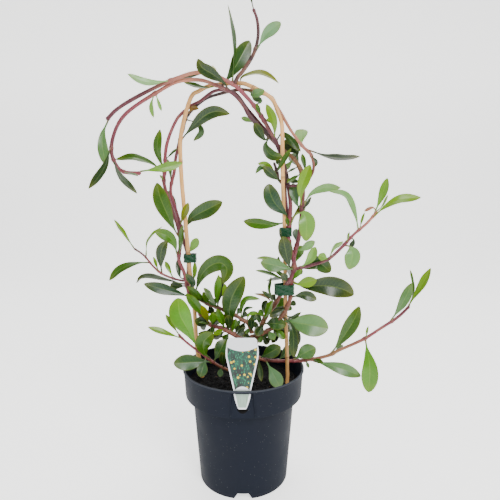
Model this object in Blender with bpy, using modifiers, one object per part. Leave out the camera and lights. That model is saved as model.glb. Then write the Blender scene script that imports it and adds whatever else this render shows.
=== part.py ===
"""Guinea flower vine in a nursery pot, trained over a bamboo hoop.

Metres, +Z up. The origin is the middle of the pot's underside and the viewer stands at -Y.
Stems and leaves are laid out as they look from the front: every point is given by the place
(x, z) where its line of sight meets the upright plane through the pot's middle, and by how far
it stands forward of that plane. Moving a point forward or back keeps its place in that view.
"""

import math

import bmesh
import bpy
from mathutils import Matrix, Vector
from mathutils.bvhtree import BVHTree

MM = 0.001
GAP = 0.3

# Viewer's eye, in millimetres
EYE_X = 10.8
EYE_DISTANCE = 726.0
EYE_Z = 488.0

# Pot, in millimetres
POT_HEIGHT = 190.0
RIM_RADIUS = 100.0
LIP_HEIGHT = 3.5
LIP_STEP = 1.5
COLLAR_DEPTH = 44.0
COLLAR_FOOT_RADIUS = 96.2
SHOULDER_RADIUS = 84.4
BASE_RADIUS = 73.6
WALL = 1.8
FLOOR_TOP = 12.0
BOSS_RADIUS = 12.5
BOSS_TAPER = 2.0
POT_STEPS = 40
NOTCH_FOOT_WIDTH = 31.0
NOTCH_TOP_WIDTH = 17.0
NOTCH_HEIGHT = 9.6
NOTCH_COUNT = 3
DRAIN_RADIUS = 5.0
DRAIN_CIRCLE = 48.0
DRAIN_COUNT = 6

# Label and the pocket for it in the collar
CARD_BACK = 95.25
CARD_THICKNESS = 0.5
CARD_MIDDLE_X = -0.5
PANEL_FACE = 94.5
PANEL_BACK = 92.7
POCKET_BOTTOM = 150.0
SLOT_FRONT = 96.1
SLOT_HALF_WIDTH = 14.3
TONGUE_BOTTOM = 161.0
CARD_SHOULDER = 191.0
CARD_WIDEST = 247.0
CARD_TOP = 270.0

# Potting mix
MIX_BOTTOM = 12.3
MIX_EDGE_HEIGHT = 160.5
MIX_CROWN_HEIGHT = 164.0
HOLE_CLEARANCE = 0.7

# Bamboo cane, bent into a hoop that stands turned a little out of the front plane
CANE_LEFT_RADIUS = 3.65
CANE_RIGHT_RADIUS = 3.0
CANE_FORWARD_AT_LEFT = -15.0
CANE_LEFT_X = -69.0
CANE_TURN = 0.183
CANE_SPACING = 18.0
CANE_POINTS = [
    (-66, 52), (-69, 168), (-77, 220), (-81, 300), (-86.7, 350), (-90, 400), (-93.6, 450),
    (-97, 500), (-97.7, 550), (-93, 580), (-80, 620), (-67, 630), (-48, 638), (-9, 641.5),
    (9.6, 638), (42.6, 620), (54, 598), (60, 580), (61.2, 550), (62.4, 500), (63.5, 465),
    (66, 420), (68, 330), (69.4, 280), (71.8, 220), (73.2, 180), (73, 159), (66, 50),
]

# Stems: root or branching point first, each point (x, z, forward), then the radii at both ends
STEM_SPACING = 13.0
STEMS = {
    "crown_stem": ([(5, 120, 0), (8, 172, 0), (12, 215, 0), (15, 243, 0)], 5.2, 3.6),
    "stem_left_outer": (
        [(8.6, 231, 0), (-0.5, 234, 2), (-9, 239, 3), (-31, 252, 4), (-58, 262, 0),
         (-75, 285, -5), (-89.6, 317, -10), (-95.6, 346, -12), (-104, 369, -14),
         (-101, 395, -12), (-105, 424, -12), (-116, 457, -14), (-124.4, 489, -14),
         (-123, 510, -14), (-120.5, 541, -15), (-114.8, 562, -18), (-105, 583, -25),
         (-97, 594, -28), (-80, 608, -26), (-66, 615, -20), (-43, 630, -14), (-20, 630, -12),
         (-8, 623, -11), (5, 606, -10), (18, 591, -10), (40, 566, -11)], 2.3, 1.6),
    "stem_left_inner": (
        [(14, 246.3, 2), (8, 262, 5), (-2, 268, 5), (-12, 275, 3), (-33, 285, 0), (-58, 295, -11),
         (-75, 305, -22), (-88, 320, -26.5), (-89.5, 340, -26), (-89.2, 371, -25.6), (-96, 400, -26),
         (-103, 435, -24), (-114.5, 476, -21), (-108, 508, -20), (-105, 530, -21),
         (-98, 558, -27), (-93, 572, -28), (-88.5, 588, -28), (-80, 600, -27), (-58, 618, -24),
         (-30, 627, -19), (-2, 632, -13), (20, 628, -7), (43, 621.6, -2), (50.6, 610, 0),
         (58, 598, 3), (73, 573, 15), (91, 549, 22), (106, 534, 22), (110.5, 514, 21),
         (105, 499, 20), (97, 492, 18), (87, 487, 15), (76, 486, 10), (68, 487.5, 5),
         (62, 490, 2.5), (55, 497, 2), (54, 505, 1), (48, 523, -1)], 2.1, 1.5),
    "stem_right_front": (
        [(18.0, 218, -1.5), (22, 232, -8), (29, 256, -9), (38, 276, -3), (50, 292, 6),
         (62, 312, 16), (72, 330, 20), (83, 354, 20), (76.5, 384, 17), (72, 407, 13),
         (73.5, 425, 12), (75, 449, 9), (74.4, 464, 6), (71, 487, 1), (66.6, 509, 0),
         (55, 545, 2), (34, 583, 2), (15.5, 610, 1.5), (-2, 629, 2), (-11, 637, 3),
         (-29, 647, 5), (-51, 655.6, 7), (-74.5, 656.6, 9), (-100, 649, 12), (-130, 637, 14),
         (-169, 618, 14), (-195, 602, 12), (-211, 586.5, 11)], 2.4, 2.0),
    "stem_right_back": (
        [(19.4, 239, 2), (30, 244.5, 3), (47, 254, 5), (60, 270, 12), (70, 286, 17),
         (75.5, 300, 17), (77.3, 312, 14.5), (77.3, 326, 13.5), (80.5, 350, 11), (82.6, 378, 12),
         (89.6, 407, 15), (93, 450, 10), (95, 480, 7), (91, 508.6, 4), (78.5, 528.5, 1),
         (60, 543, -5), (40.5, 562, -5), (12, 590, -4), (1.3, 608, -4), (-15, 626, -4),
         (-40, 638, -1), (-66, 646, 2), (-100, 643.6, 5), (-135, 626, 10), (-171, 604, 14),
         (-190, 585.5, 14), (-201.4, 562, 14), (-205.4, 539, 15), (-199.6, 520, 17),
         (-187, 508, 19), (-160, 505.5, 20)], 2.3, 1.9),
    "stem_right_short": (
        [(71.4, 426, 8.2), (70, 434, 5), (70, 443, 4), (67.8, 464, 3), (66, 487, -1.5),
         (65, 497, -3.5), (63.5, 508, -5)], 1.8, 1.3),
    "top_shoot": (
        [(-12.9, 641.0, 3.7), (-6.6, 652, 6), (1.5, 661, 7), (16.6, 685, 9), (23, 709.5, 10),
         (21.6, 732, 9), (15.4, 749, 7)], 2.3, 1.4),
    "runner_left_upper": (
        [(-96.3, 333.2, -11), (-109.6, 336, -8), (-130, 344, -4), (-144.5, 356, 0),
         (-160, 375, 3), (-175.6, 386.5, 5)], 1.4, 1.0),
    "runner_left_lower": (
        [(3.0, 173, 1), (-8, 175, 5), (-23, 180, 10), (-42, 189, 17), (-66, 207, 23),
         (-95, 230, 25), (-108, 244, 25)], 1.8, 1.2),
    "runner_right_upper": (
        [(85.2, 353.0, 20), (110, 359, 20), (137, 369, 20), (158, 388, 20), (177, 409, 19),
         (196, 426, 17), (208, 440, 16), (212.5, 447, 16)], 1.9, 1.4),
    "runner_right_lower": (
        [(15.7, 199.3, 1.2), (25, 202, 5), (35, 199, 5), (49.5, 197.5, 4), (83.5, 197.4, 4),
         (107, 199, 8), (139, 206, 14), (161, 217, 16), (199, 235, 20), (227, 254, 22),
         (253, 272, 23), (272, 291, 23)], 2.1, 1.6),
}

# Leaves, by the stem that carries them: (kind, width, lean, points). A leaf of kind "own" is a
# piece of its own and a "joined" one is grown together with its stem. The points run from the
# foot to the tip as (x, z) or (x, z, forward). Lean is how far the tip stands forward of the
# foot, before the leaf is moved clear of its neighbours.
LEAF_HALF_THICKNESS = 0.5
PETIOLE_HALF_WIDTH = 0.85
LEAF_CUP = 0.1
LEAF_ARCH = 0.07
LEAF_CLEARANCE = 0.7
SLENDER = 0.19
PETIOLE_SHARE = 0.11
BLADE_BLUNTNESS = 0.6
BLADE_TIP = 0.003
PLAIN_STATIONS = (0.0, 0.11, 0.34, 0.6, 0.84, 1.0)
FINE_STATIONS = (0.0, 0.11, 0.22, 0.34, 0.46, 0.58, 0.7, 0.84, 1.0)
FEW_POINTS = 3
FOOT_GAP = 0.45
LEAF_SPACING = 6.0
STEM_FINE_SPACING = 1.0
LEAVES = {
    "stem_left_outer": [
        ("joined", 10, 6, [(-124.5, 508), (-133.7, 542), (-128.5, 573)]),
        ("joined", 3, 10, [(-123, 526), (-102, 544)]),
        ("joined", 8, 14, [(-125, 506), (-140, 519), (-158, 526.5), (-173, 530), (-199.8, 527)]),
        ("joined", 3, 5, [(-125, 495), (-131, 503)]),
        ("own", 19, 10, [(-101, 408), (-117, 432), (-130.5, 466), (-135.7, 491)]),
        ("joined", 7, 12, [(-103, 374), (-96, 424.5)]),
        ("own", 14, 16, [(-103.5, 377), (-111.7, 396), (-123, 407.5), (-141, 414)]),
        ("joined", 7, -10, [(-94, 336), (-103, 341), (-106, 369)]),
        ("joined", 6, 12, [(-92, 327), (-157, 339.6), (-174.5, 330)]),
        ("own", 14, 16, [(-84, 305), (-94, 309), (-162, 328.5)]),
        ("own", 12, 14, [(-58, 262.2), (-65, 277), (-93.4, 312.4)]),
        ("own", 23, 16, [(-22, 247), (-21, 298), (1, 341)]),
        ("joined", 10, 14, [(-30, 251.5), (-43.4, 287)]),
        ("joined", 10, -8, [(-25, 249), (-24.5, 276)]),
        ("joined", 9, 12, [(-56, 261), (-68.6, 293)]),
        ("joined", 15, -12, [(-46, 259), (-48, 282)]),
        ("joined", 13, 10, [(-55, 261), (-80, 267.5)]),
        ("joined", 6, 14, [(-48, 258.5), (-58, 247), (-75, 244)]),
        ("joined", 7, 10, [(-31, 252), (-49.5, 243)]),
        ("joined", 9, 16, [(-88.9, 315.4), (-82.2, 329.3), (-93.5, 344.9)]),
        ("joined", 11, 12, [(-51.2, 259.5), (-49.6, 280.6)]),
        ("joined", 12, 16, [(-52.6, 260), (-39.2, 272)]),
        ("joined", 11, 20, [(-25.5, 248.8), (-23.8, 263.3), (-25.8, 276.3)]),
        ("joined", 7, 14, [(-18.9, 244.8), (-12, 270.2)]),
        ("joined", 6, -10, [(-14.5, 242.2), (-8.2, 266.8)]),
        ("joined", 9, -12, [(-22.2, 246.8), (-17.1, 258.9)]),
        ("joined", 5, 12, [(-13.4, 241.6), (3.9, 255.9)]),
        ("joined", 9, -16, [(-27.7, 250.1), (-50.1, 236.2)]),
        ("joined", 6, 10, [(-51.2, 259.5), (-50.9, 244.1)]),
        ("joined", 3, 12, [(-54, 260.5), (-73.3, 263.3)]),
        ("joined", 9, -8, [(5, 232.2), (-7.8, 247.1)]),
        ("joined", 10, -8, [(-91.1, 324.2), (-118.8, 326.1)]),
    ],
    "stem_left_inner": [
        ("joined", 6, -6, [(-112, 490), (-118, 527.5)]),
        ("joined", 10, -8, [(-101, 428), (-119, 478.5)]),
        ("joined", 9, 4, [(-99, 424), (-97.5, 432), (-87, 460)]),
        ("own", 15, 14, [(-98, 412), (-87, 428, -25), (-79, 437.5), (-57, 449), (-33, 461)]),
        ("joined", 11, -6, [(-91, 378), (-84, 384), (-73, 403)]),
        ("joined", 6, 6, [(-90, 332), (-80, 340), (-78, 365)]),
        ("own", 20, 26, [(-80, 310), (-67, 344), (-50, 360), (-34.5, 362), (-26.5, 351), (-33, 328)]),
        ("joined", 9, -8, [(-60, 296), (-88, 316)]),
        ("joined", 9, 16, [(-57, 295), (-91.5, 324)]),
        ("joined", 7, 18, [(-43, 288.5), (-65, 321.4)]),
        ("joined", 9, 16, [(-41, 288), (-43.5, 307), (-40, 343.7)]),
        ("joined", 8, -10, [(-31, 284.5), (-30, 305), (-30, 328.6)]),
        ("joined", 7, 14, [(-3, 268.5), (-3, 289), (6, 303), (27, 303)]),
        ("joined", 4, 8, [(-1, 268), (3, 285), (16, 289)]),
        ("joined", 5, -12, [(6, 263), (9, 277), (23, 281)]),
        ("joined", 9, -16, [(9, 260), (20, 276)]),
        ("own", 15, 16, [(-98, 557), (-88, 566, -28), (-62, 591), (-42, 599.6), (-20, 596)]),
        ("joined", 7, -8, [(-88.5, 588), (-72, 582), (-65, 569), (-77, 555)]),
        ("joined", 6, 8, [(-84, 595), (-78, 604), (-68, 604)]),
        ("joined", 6.5, -8, [(-5, 631.5), (-3, 648), (8, 654), (25, 656), (42, 650.5), (55, 641)]),
        ("joined", 10, 22, [(12, 630.5), (14, 625, 0), (22, 627, 9), (33, 631, 12)]),
        ("joined", 17, -14, [(91.5, 548.5), (90, 573)]),
        ("own", 7.5, 12, [(101, 539.3), (112, 538), (130, 532), (157, 529), (183, 531.6)]),
        ("joined", 4, 10, [(107, 533), (114, 524), (113, 515.6)]),
        ("joined", 6, 10, [(53.5, 507), (57, 514, 14), (75, 544)]),
        ("joined", 8, 12, [(55, 499), (38, 517), (23, 520.7)]),
        ("joined", 11, -4, [(60, 491.5), (31.6, 516)]),
        ("joined", 7, -10, [(52, 511), (57.5, 519), (52, 527)]),
        ("joined", 9, -12, [(-43, 289), (-36.7, 319.1), (-37.4, 340.3)]),
        ("joined", 11, -6, [(-44.2, 289.5), (-53.5, 303.8)]),
        ("joined", 8, 12, [(-54.2, 293.5), (-65.9, 314.9)]),
        ("joined", 6, 8, [(53.4, 506.8), (30.3, 515.1), (19.3, 505.5)]),
        ("joined", 9, 8, [(14, 246.3), (12.2, 273.2)]),
        ("joined", 7, -16, [(-58.9, 295.5), (-87.4, 316.4)]),
    ],
    "stem_right_front": [
        ("own", 16, 20, [(32, 264), (50, 262, 13), (70, 259)]),
        ("joined", 11, 14, [(31, 262), (30, 256), (22, 240)]),
        ("joined", 9, 16, [(33, 266), (48, 301)]),
        ("joined", 11, 14, [(45, 286), (69, 303)]),
        ("joined", 9, -10, [(43, 283), (68, 290)]),
        ("joined", 8, -6, [(37, 275), (33, 287), (38, 301)]),
        ("joined", 4, 10, [(74, 334), (64, 337), (42, 345), (20, 350.6)]),
        ("joined", 4, 12, [(53, 297), (41, 318), (45, 341)]),
        ("joined", 4, -6, [(49, 291), (38, 306), (18, 312)]),
        ("own", 17, 10, [(82.8, 357), (74, 359, 25), (63, 406)]),
        ("own", 17, 12, [(83.2, 353), (76, 353, 27), (62, 356.5), (28, 364.3)]),
        ("joined", 7, 14, [(74, 430), (100.5, 463)]),
        ("joined", 5, 9, [(73, 421), (68.5, 437)]),
        ("own", 20, 22, [(73.4, 425), (84, 441), (97, 444), (106, 427), (100.5, 398)]),
        ("joined", 8, 6, [(-110, 645.2), (-147, 642.5), (-176, 655)]),
        ("own", 12, 10, [(-209.5, 588), (-217.5, 566), (-218.5, 542), (-212.8, 514.8)]),
        ("joined", 3, -10, [(-38, 651.5), (-46.5, 668)]),
        ("joined", 5, -10, [(-58, 656.5), (-75, 652), (-95, 648)]),
        ("joined", 4, -12, [(-16, 640.6), (-14, 666), (-14, 690), (-18, 725), (-22.4, 754)]),
        ("joined", 7, -10, [(17, 608), (27, 615), (14, 621)]),
        ("joined", 5, 8, [(27.5, 592.5), (20.5, 611.5)]),
        ("joined", 10, 12, [(49, 557), (48, 583), (36, 610.5)]),
        ("joined", 9, -10, [(32, 585.5), (47, 588)]),
        ("joined", 9, 5, [(50, 553), (63, 566, -1), (90, 539)]),
        ("joined", 3, -8, [(73.8, 397.8), (61, 404.5), (57.5, 418.5)]),
        ("joined", 5, 12, [(54.2, 299), (29.9, 316.8)]),
        ("joined", 4, 10, [(50.6, 293), (41.8, 314.2)]),
        ("joined", 6, 8, [(28.6, 254.8), (20, 282.1)]),
        ("joined", 9, 5, [(72.5, 331), (62.8, 346)]),
    ],
    "stem_right_back": [
        ("own", 27, 16, [(59, 268.5), (70, 265.5), (111, 259), (140, 253.3)]),
        ("joined", 9, -10, [(47, 254), (76, 249)]),
        ("joined", 12, -18, [(64, 276), (76, 262), (82, 245), (84, 203)]),
        ("joined", 8, 14, [(80, 336), (62.5, 332)]),
        ("own", 13, 14, [(79, 332), (89, 328), (119, 335)]),
        ("joined", 9, -8, [(79.5, 338), (95, 353)]),
        ("own", 24, 12, [(79, 334), (83, 331), (100, 325), (135, 325), (160, 320), (180, 310)]),
        ("joined", 12, 10, [(76.8, 306), (99, 309.5), (119.6, 302)]),
        ("own", 18, 18, [(81, 352), (103, 357.5), (121.5, 362.5), (141.5, 348.6)]),
        ("joined", 11, -10, [(81.6, 358), (94, 391)]),
        ("joined", 10, 14, [(84, 386), (94, 385), (115, 398)]),
        ("joined", 9, -14, [(85.5, 392), (84, 418)]),
        ("joined", 7, -10, [(91, 428), (97, 463)]),
        ("own", 14, -9, [(93.5, 455), (91, 468), (92, 484), (105, 519)]),
        ("joined", 12, -12, [(93, 448), (84, 460), (78, 490)]),
        ("own", 10, 14, [(94, 458), (108.5, 474.5), (131, 483.2), (154, 483)]),
        ("joined", 4, -8, [(93, 448), (100.5, 456), (108, 469)]),
        ("joined", 16, -14, [(79, 528), (84, 538), (64, 556)]),
        ("joined", 7, -12, [(79, 528), (66, 512)]),
        ("joined", 3, 8, [(86, 516), (70, 507)]),
        ("joined", 5, 12, [(92, 506), (68.5, 491)]),
        ("joined", 6, -14, [(91.5, 507), (97, 512), (92, 536)]),
        ("joined", 11, 12, [(40.5, 562), (33, 558), (17, 582)]),
        ("joined", 12, 22, [(41, 561.5), (35, 548), (44, 534), (62, 530)]),
        ("joined", 6, -10, [(21, 582), (-2.7, 590.5)]),
        ("own", 14, -8, [(-24, 631), (-30, 643), (-47, 655), (-62, 664), (-68.4, 677)]),
        ("joined", 5, -10, [(-41, 638), (-60, 635), (-90, 642.5)]),
        ("joined", 5, 10, [(-136, 625.5), (-141, 609), (-138, 590.3)]),
        ("joined", 4, -8, [(-134, 626), (-125.5, 600)]),
        ("own", 9, 10, [(-205, 544), (-215, 519.5), (-226.5, 501), (-244, 481.4)]),
        ("joined", 8, 14, [(-205, 526), (-197, 508), (-185, 490.5), (-167.5, 473.7)]),
        ("own", 11, -18, [(-162, 505.5), (-95, 521.5)]),
        ("joined", 3, 8, [(-187, 508), (-165, 501)]),
        ("own", 19, -6, [(-33, 635.5), (-24, 647), (-8.5, 670), (10.2, 703)]),
        ("joined", 5, -12, [(83.3, 380.9), (56.5, 388.5)]),
        ("joined", 6, -8, [(80.8, 354.2), (39.6, 368.5), (21.3, 370.8)]),
        ("joined", 6, -12, [(80.5, 350), (58.9, 362.8), (56.5, 373.5)]),
        ("joined", 5, -20, [(78.9, 338), (57.1, 336.5), (37.3, 333.9)]),
        ("joined", 9, 10, [(49, 256.4), (68.2, 235.2)]),
        ("joined", 9, 16, [(40.2, 250.2), (51.7, 233.8)]),
        ("joined", 13, -14, [(54.8, 263.6), (80.6, 250.9), (91.1, 225.3)]),
        ("joined", 5, 14, [(80.6, 351.4), (75.3, 356.6)]),
        ("joined", 7.5, -24, [(78.1, 332), (73.7, 354.7)]),
        ("joined", 5, 4, [(78.3, 333.2), (50.8, 351)]),
        ("joined", 13, -16, [(89.1, 511.6), (75.5, 535.5)]),
        ("joined", 6, 10, [(93.4, 491.4), (68.2, 495.9)]),
        ("joined", 5, -8, [(93.4, 491.4), (91.6, 500.4)]),
        ("joined", 6, 6, [(78.3, 333.2), (94.1, 352.6)]),
        ("joined", 9, -16, [(70.5, 287.4), (42.6, 273.2)]),
        ("joined", 9, -14, [(50.2, 258), (56, 246), (47.1, 228.5)]),
        ("joined", 5, -14, [(65, 278), (80, 272), (94.8, 280.8)]),
    ],
    "stem_right_short": [
        ("own", 13, -8, [(70, 433), (61.5, 427), (41.5, 425), (19, 427), (0.4, 430.5)]),
        ("own", 19, 11, [(70, 438), (69, 440.5, 14), (64, 445, 18), (50, 459, 19), (42.3, 476.5, 18),
                        (40.5, 489.3)]),
    ],
    "top_shoot": [
        ("own", 13, 10, [(19.8, 690.5), (36, 713), (57, 729)]),
        ("joined", 4, -8, [(16.5, 746), (12.5, 760), (5, 781)]),
    ],
    "runner_left_upper": [
        ("own", 13, 12, [(-133, 346), (-133.5, 366), (-131, 385), (-122, 399)]),
        ("joined", 6, -10, [(-113.6, 337), (-126, 365.5)]),
        ("joined", 4, 10, [(-137, 349), (-145.5, 373)]),
        ("joined", 5, 10, [(-175, 386), (-206, 433)]),
        ("joined", 3, -12, [(-158, 372), (-152, 400), (-129, 422)]),
        ("joined", 9, 16, [(-152, 363), (-170, 362.5), (-198, 353), (-218, 334)]),
    ],
    "runner_left_lower": [
        ("own", 26, 8, [(-76, 214.5), (-88, 244), (-103.5, 275.5), (-107, 305)]),
        ("joined", 6, -6, [(-106, 241), (-127.6, 277)]),
        ("joined", 7, 12, [(-102, 236), (-157.5, 255.6)]),
        ("own", 25, 14, [(-52, 196), (-64, 196), (-116.7, 193)]),
        ("own", 16, 22, [(-62, 203.6), (-73, 169)]),
        ("own", 20, 10, [(-57, 200), (-65, 212), (-66, 230), (-50.5, 246)]),
        ("joined", 18, -10, [(-50, 195), (-29, 234)]),
        ("joined", 8, 10, [(-33, 184), (-36, 213)]),
        ("joined", 12, 14, [(-37, 187), (-40, 169)]),
    ],
    "runner_right_upper": [
        ("joined", 10, 10, [(137, 369), (121, 376)]),
        ("joined", 11, -14, [(92, 354.5), (107.6, 369), (116, 389)]),
        ("joined", 8, 10, [(184, 415.5), (178, 440), (163, 470), (134.6, 478)]),
        ("joined", 3, -8, [(185, 417), (193, 444)]),
        ("joined", 4, 8, [(211.5, 446), (205, 452), (192, 446)]),
        ("own", 10, 6, [(210.5, 443), (219.4, 471), (227, 498.3)]),
        ("joined", 3, -10, [(212, 446.5), (222, 456), (229, 472)]),
        ("own", 10, 12, [(206, 438), (222, 450.5), (247, 464.2), (281.3, 468)]),
        ("own", 22, 10, [(163, 392.5), (179, 388), (181.5, 376), (170.7, 352)]),
        ("joined", 6, -10, [(172.5, 404), (177, 399), (172, 388)]),
        ("joined", 3, 8, [(166, 396), (170, 413)]),
        ("joined", 6, -10, [(138, 370), (146, 386), (160, 398)]),
    ],
    "runner_right_lower": [
        ("joined", 17, 14, [(26, 202), (62, 222)]),
        ("joined", 14, -8, [(57, 197.7), (80, 221)]),
        ("own", 20, 12, [(84, 197.4), (101, 211), (120, 220)]),
        ("own", 17, 50, [(38, 198.5), (62, 150)]),
        ("joined", 7, 34, [(25, 202), (30, 161)]),
        ("joined", 4, 10, [(104, 198.5), (109, 185)]),
        ("own", 17, 12, [(147, 210.5), (159, 229), (180.5, 265), (190, 291)]),
        ("joined", 5, -8, [(149, 211.5), (165, 225)]),
        ("own", 24, 14, [(200, 236), (205.3, 215.5), (211.2, 183.5), (210.5, 142)]),
        ("own", 15, 16, [(115, 201), (151, 187.5), (173.5, 180.3), (196.5, 170.4)]),
        ("joined", 6, 12, [(113, 200.5), (133, 195)]),
        ("joined", 3, 8, [(202, 237), (206, 257)]),
        ("own", 12, 10, [(244, 266), (261, 297.5), (274, 330)]),
        ("own", 11, 6, [(271.5, 290.5), (289.5, 325), (303.3, 354.5)]),
        ("joined", 3, -10, [(271, 290), (276, 315), (270, 351.5)]),
    ],
    "crown_stem": [
        ("joined", 8, 12, [(14.8, 241.6), (45.3, 244.3)]),
        ("joined", 8, 14, [(14.2, 236), (-1.2, 241.1)]),
        ("joined", 10, -14, [(14.7, 240.2), (26.6, 254.6)]),
        ("joined", 12, -16, [(13.8, 231.8), (-5.4, 245)]),
    ],
}
LEAN_STEPS = (0, 5, -5, 10, -10, 15, -15, 20, -20, 26, -26, 32, -32, 40, -40)

# Ties of garden tape: (x, z of the middle, forward of the middle, half width, half depth, height)
TIES = {
    "tie_left": (-85.6, 371, -21.4, 9.0, 7.0, 14.0),
    "tie_right_upper": (67.9, 413, 11.4, 7.9, 5.6, 14.0),
    "tie_right_lower": (66.6, 319.5, 14.1, 14.2, 8.1, 17.0),
}
TAPE_THICKNESS = 0.6
TAPE_CORNER = 3.5
TAPE_STEPS = 24


def clear_scene():
    for thing in list(bpy.data.objects):
        bpy.data.objects.remove(thing, do_unlink=True)


def make_collection(name):
    collection = bpy.data.collections.new(name)
    bpy.context.scene.collection.children.link(collection)
    return collection


def make_material(name, colour, roughness):
    material = bpy.data.materials.new(name)
    material.use_nodes = True
    shader = material.node_tree.nodes["Principled BSDF"]
    shader.inputs["Base Color"].default_value = (*colour, 1.0)
    shader.inputs["Roughness"].default_value = roughness
    shader.inputs["Metallic"].default_value = 0.0
    return material


def add_object(name, mesh, collection, material=None):
    thing = bpy.data.objects.new(name, mesh)
    collection.objects.link(thing)
    if material is not None:
        mesh.materials.clear()
        mesh.materials.append(material)
    return thing


def mesh_from_bmesh(name, working):
    bmesh.ops.recalc_face_normals(working, faces=working.faces)
    mesh = bpy.data.meshes.new(name)
    working.to_mesh(mesh)
    working.free()
    return mesh


def hide_cutter(thing):
    thing.hide_render = True
    thing.display_type = "WIRE"


def cut(target, cutter, operation="DIFFERENCE"):
    hide_cutter(cutter)
    modifier = target.modifiers.new("boolean", "BOOLEAN")
    modifier.operation = operation
    modifier.solver = "EXACT"
    modifier.object = cutter


def evaluated_mesh(thing, name):
    """The object's mesh with its modifiers applied, doubled points merged."""
    graph = bpy.context.evaluated_depsgraph_get()
    mesh = bpy.data.meshes.new_from_object(thing.evaluated_get(graph))
    mesh.name = name
    working = bmesh.new()
    working.from_mesh(mesh)
    bmesh.ops.remove_doubles(working, verts=working.verts, dist=0.00001)
    working.to_mesh(mesh)
    working.free()
    return mesh


def place(x, z, forward):
    """Point in millimetres whose line of sight meets the front plane at (x, z)."""
    share = 1.0 - forward / EYE_DISTANCE
    return Vector((EYE_X + share * (x - EYE_X), -forward, EYE_Z + share * (z - EYE_Z)))


def cane_forward(x):
    return CANE_FORWARD_AT_LEFT + CANE_TURN * (x - CANE_LEFT_X)


def smooth_route(points, spacing):
    """Even points on a smooth curve through the given ones (Catmull-Rom spans)."""
    ends = [points[0] * 2 - points[1]] + list(points) + [points[-1] * 2 - points[-2]]
    fine = []
    for index in range(1, len(ends) - 2):
        before, start, end, after = ends[index - 1:index + 3]
        for step in range(12):
            t = step / 12
            fine.append(0.5 * (
                2 * start + (end - before) * t
                + (2 * before - 5 * start + 4 * end - after) * t ** 2
                + (3 * start - before - 3 * end + after) * t ** 3
            ))
    fine.append(points[-1])
    lengths = [0.0]
    for first, second in zip(fine, fine[1:]):
        lengths.append(lengths[-1] + (second - first).length)
    count = max(2, round(lengths[-1] / spacing))
    route = []
    index = 0
    for number in range(count + 1):
        wanted = lengths[-1] * number / count
        while index < len(lengths) - 2 and lengths[index + 1] < wanted:
            index += 1
        span = max(lengths[index + 1] - lengths[index], 1e-9)
        route.append(fine[index].lerp(fine[index + 1], min(1.0, (wanted - lengths[index]) / span)))
    return route


def tube_mesh(name, route, start_radius, end_radius, resolution, extra=0.0):
    """Solid tube along a route in millimetres, tapering evenly from end to end."""
    curve = bpy.data.curves.new(name, "CURVE")
    curve.dimensions = "3D"
    curve.bevel_depth = MM
    curve.bevel_resolution = resolution
    curve.use_fill_caps = True
    spline = curve.splines.new("POLY")
    spline.points.add(len(route) - 1)
    for number, point in enumerate(route):
        share = number / (len(route) - 1)
        spline.points[number].co = (*(point * MM), 1.0)
        spline.points[number].radius = start_radius + share * (end_radius - start_radius) + extra
    thing = bpy.data.objects.new(name, curve)
    bpy.context.scene.collection.objects.link(thing)
    bpy.context.view_layer.update()
    mesh = evaluated_mesh(thing, name)
    bpy.data.objects.remove(thing, do_unlink=True)
    working = bmesh.new()
    working.from_mesh(mesh)
    return mesh_from_bmesh(name, working)


def box_mesh(name, low, high):
    working = bmesh.new()
    bmesh.ops.create_cube(working, size=1.0)
    low, high = Vector(low) * MM, Vector(high) * MM
    size = high - low
    bmesh.ops.scale(working, vec=size, verts=working.verts)
    bmesh.ops.translate(working, vec=(low + high) / 2, verts=working.verts)
    return mesh_from_bmesh(name, working)


def prism_mesh(name, outline, matrix, depth):
    """Solid of a flat outline (x, z in millimetres), depth deep along Y, then placed."""
    working = bmesh.new()
    points = [working.verts.new((x * MM, 0.0, z * MM)) for x, z in outline]
    face = working.faces.new(points)
    grown = bmesh.ops.extrude_face_region(working, geom=[face])
    moved = [item for item in grown["geom"] if isinstance(item, bmesh.types.BMVert)]
    bmesh.ops.translate(working, vec=(0.0, depth * MM, 0.0), verts=moved)
    bmesh.ops.transform(working, matrix=matrix, verts=working.verts)
    return mesh_from_bmesh(name, working)


def turned(name, profile, steps, collection, material):
    """Turned solid: a profile (radius, z) in millimetres, spun about Z."""
    mesh = bpy.data.meshes.new(name)
    points = [(radius * MM, 0.0, z * MM) for radius, z in profile]
    mesh.from_pydata(points, [(i, i + 1) for i in range(len(points) - 1)], [])
    thing = add_object(name, mesh, collection, material)
    screw = thing.modifiers.new("turn", "SCREW")
    screw.steps = steps
    screw.render_steps = steps
    screw.use_merge_vertices = True
    screw.merge_threshold = 0.0001
    screw.use_smooth_shade = True
    return thing


def wall_radius(z):
    """Outer radius of the pot's body at a height under the collar."""
    return BASE_RADIUS + (SHOULDER_RADIUS - BASE_RADIUS) * z / (POT_HEIGHT - COLLAR_DEPTH)


def collar_radius(z):
    """Outer radius of the collar at a height above its foot."""
    share = (z - (POT_HEIGHT - COLLAR_DEPTH)) / (COLLAR_DEPTH - LIP_HEIGHT)
    return COLLAR_FOOT_RADIUS + (RIM_RADIUS - LIP_STEP - COLLAR_FOOT_RADIUS) * share


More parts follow.
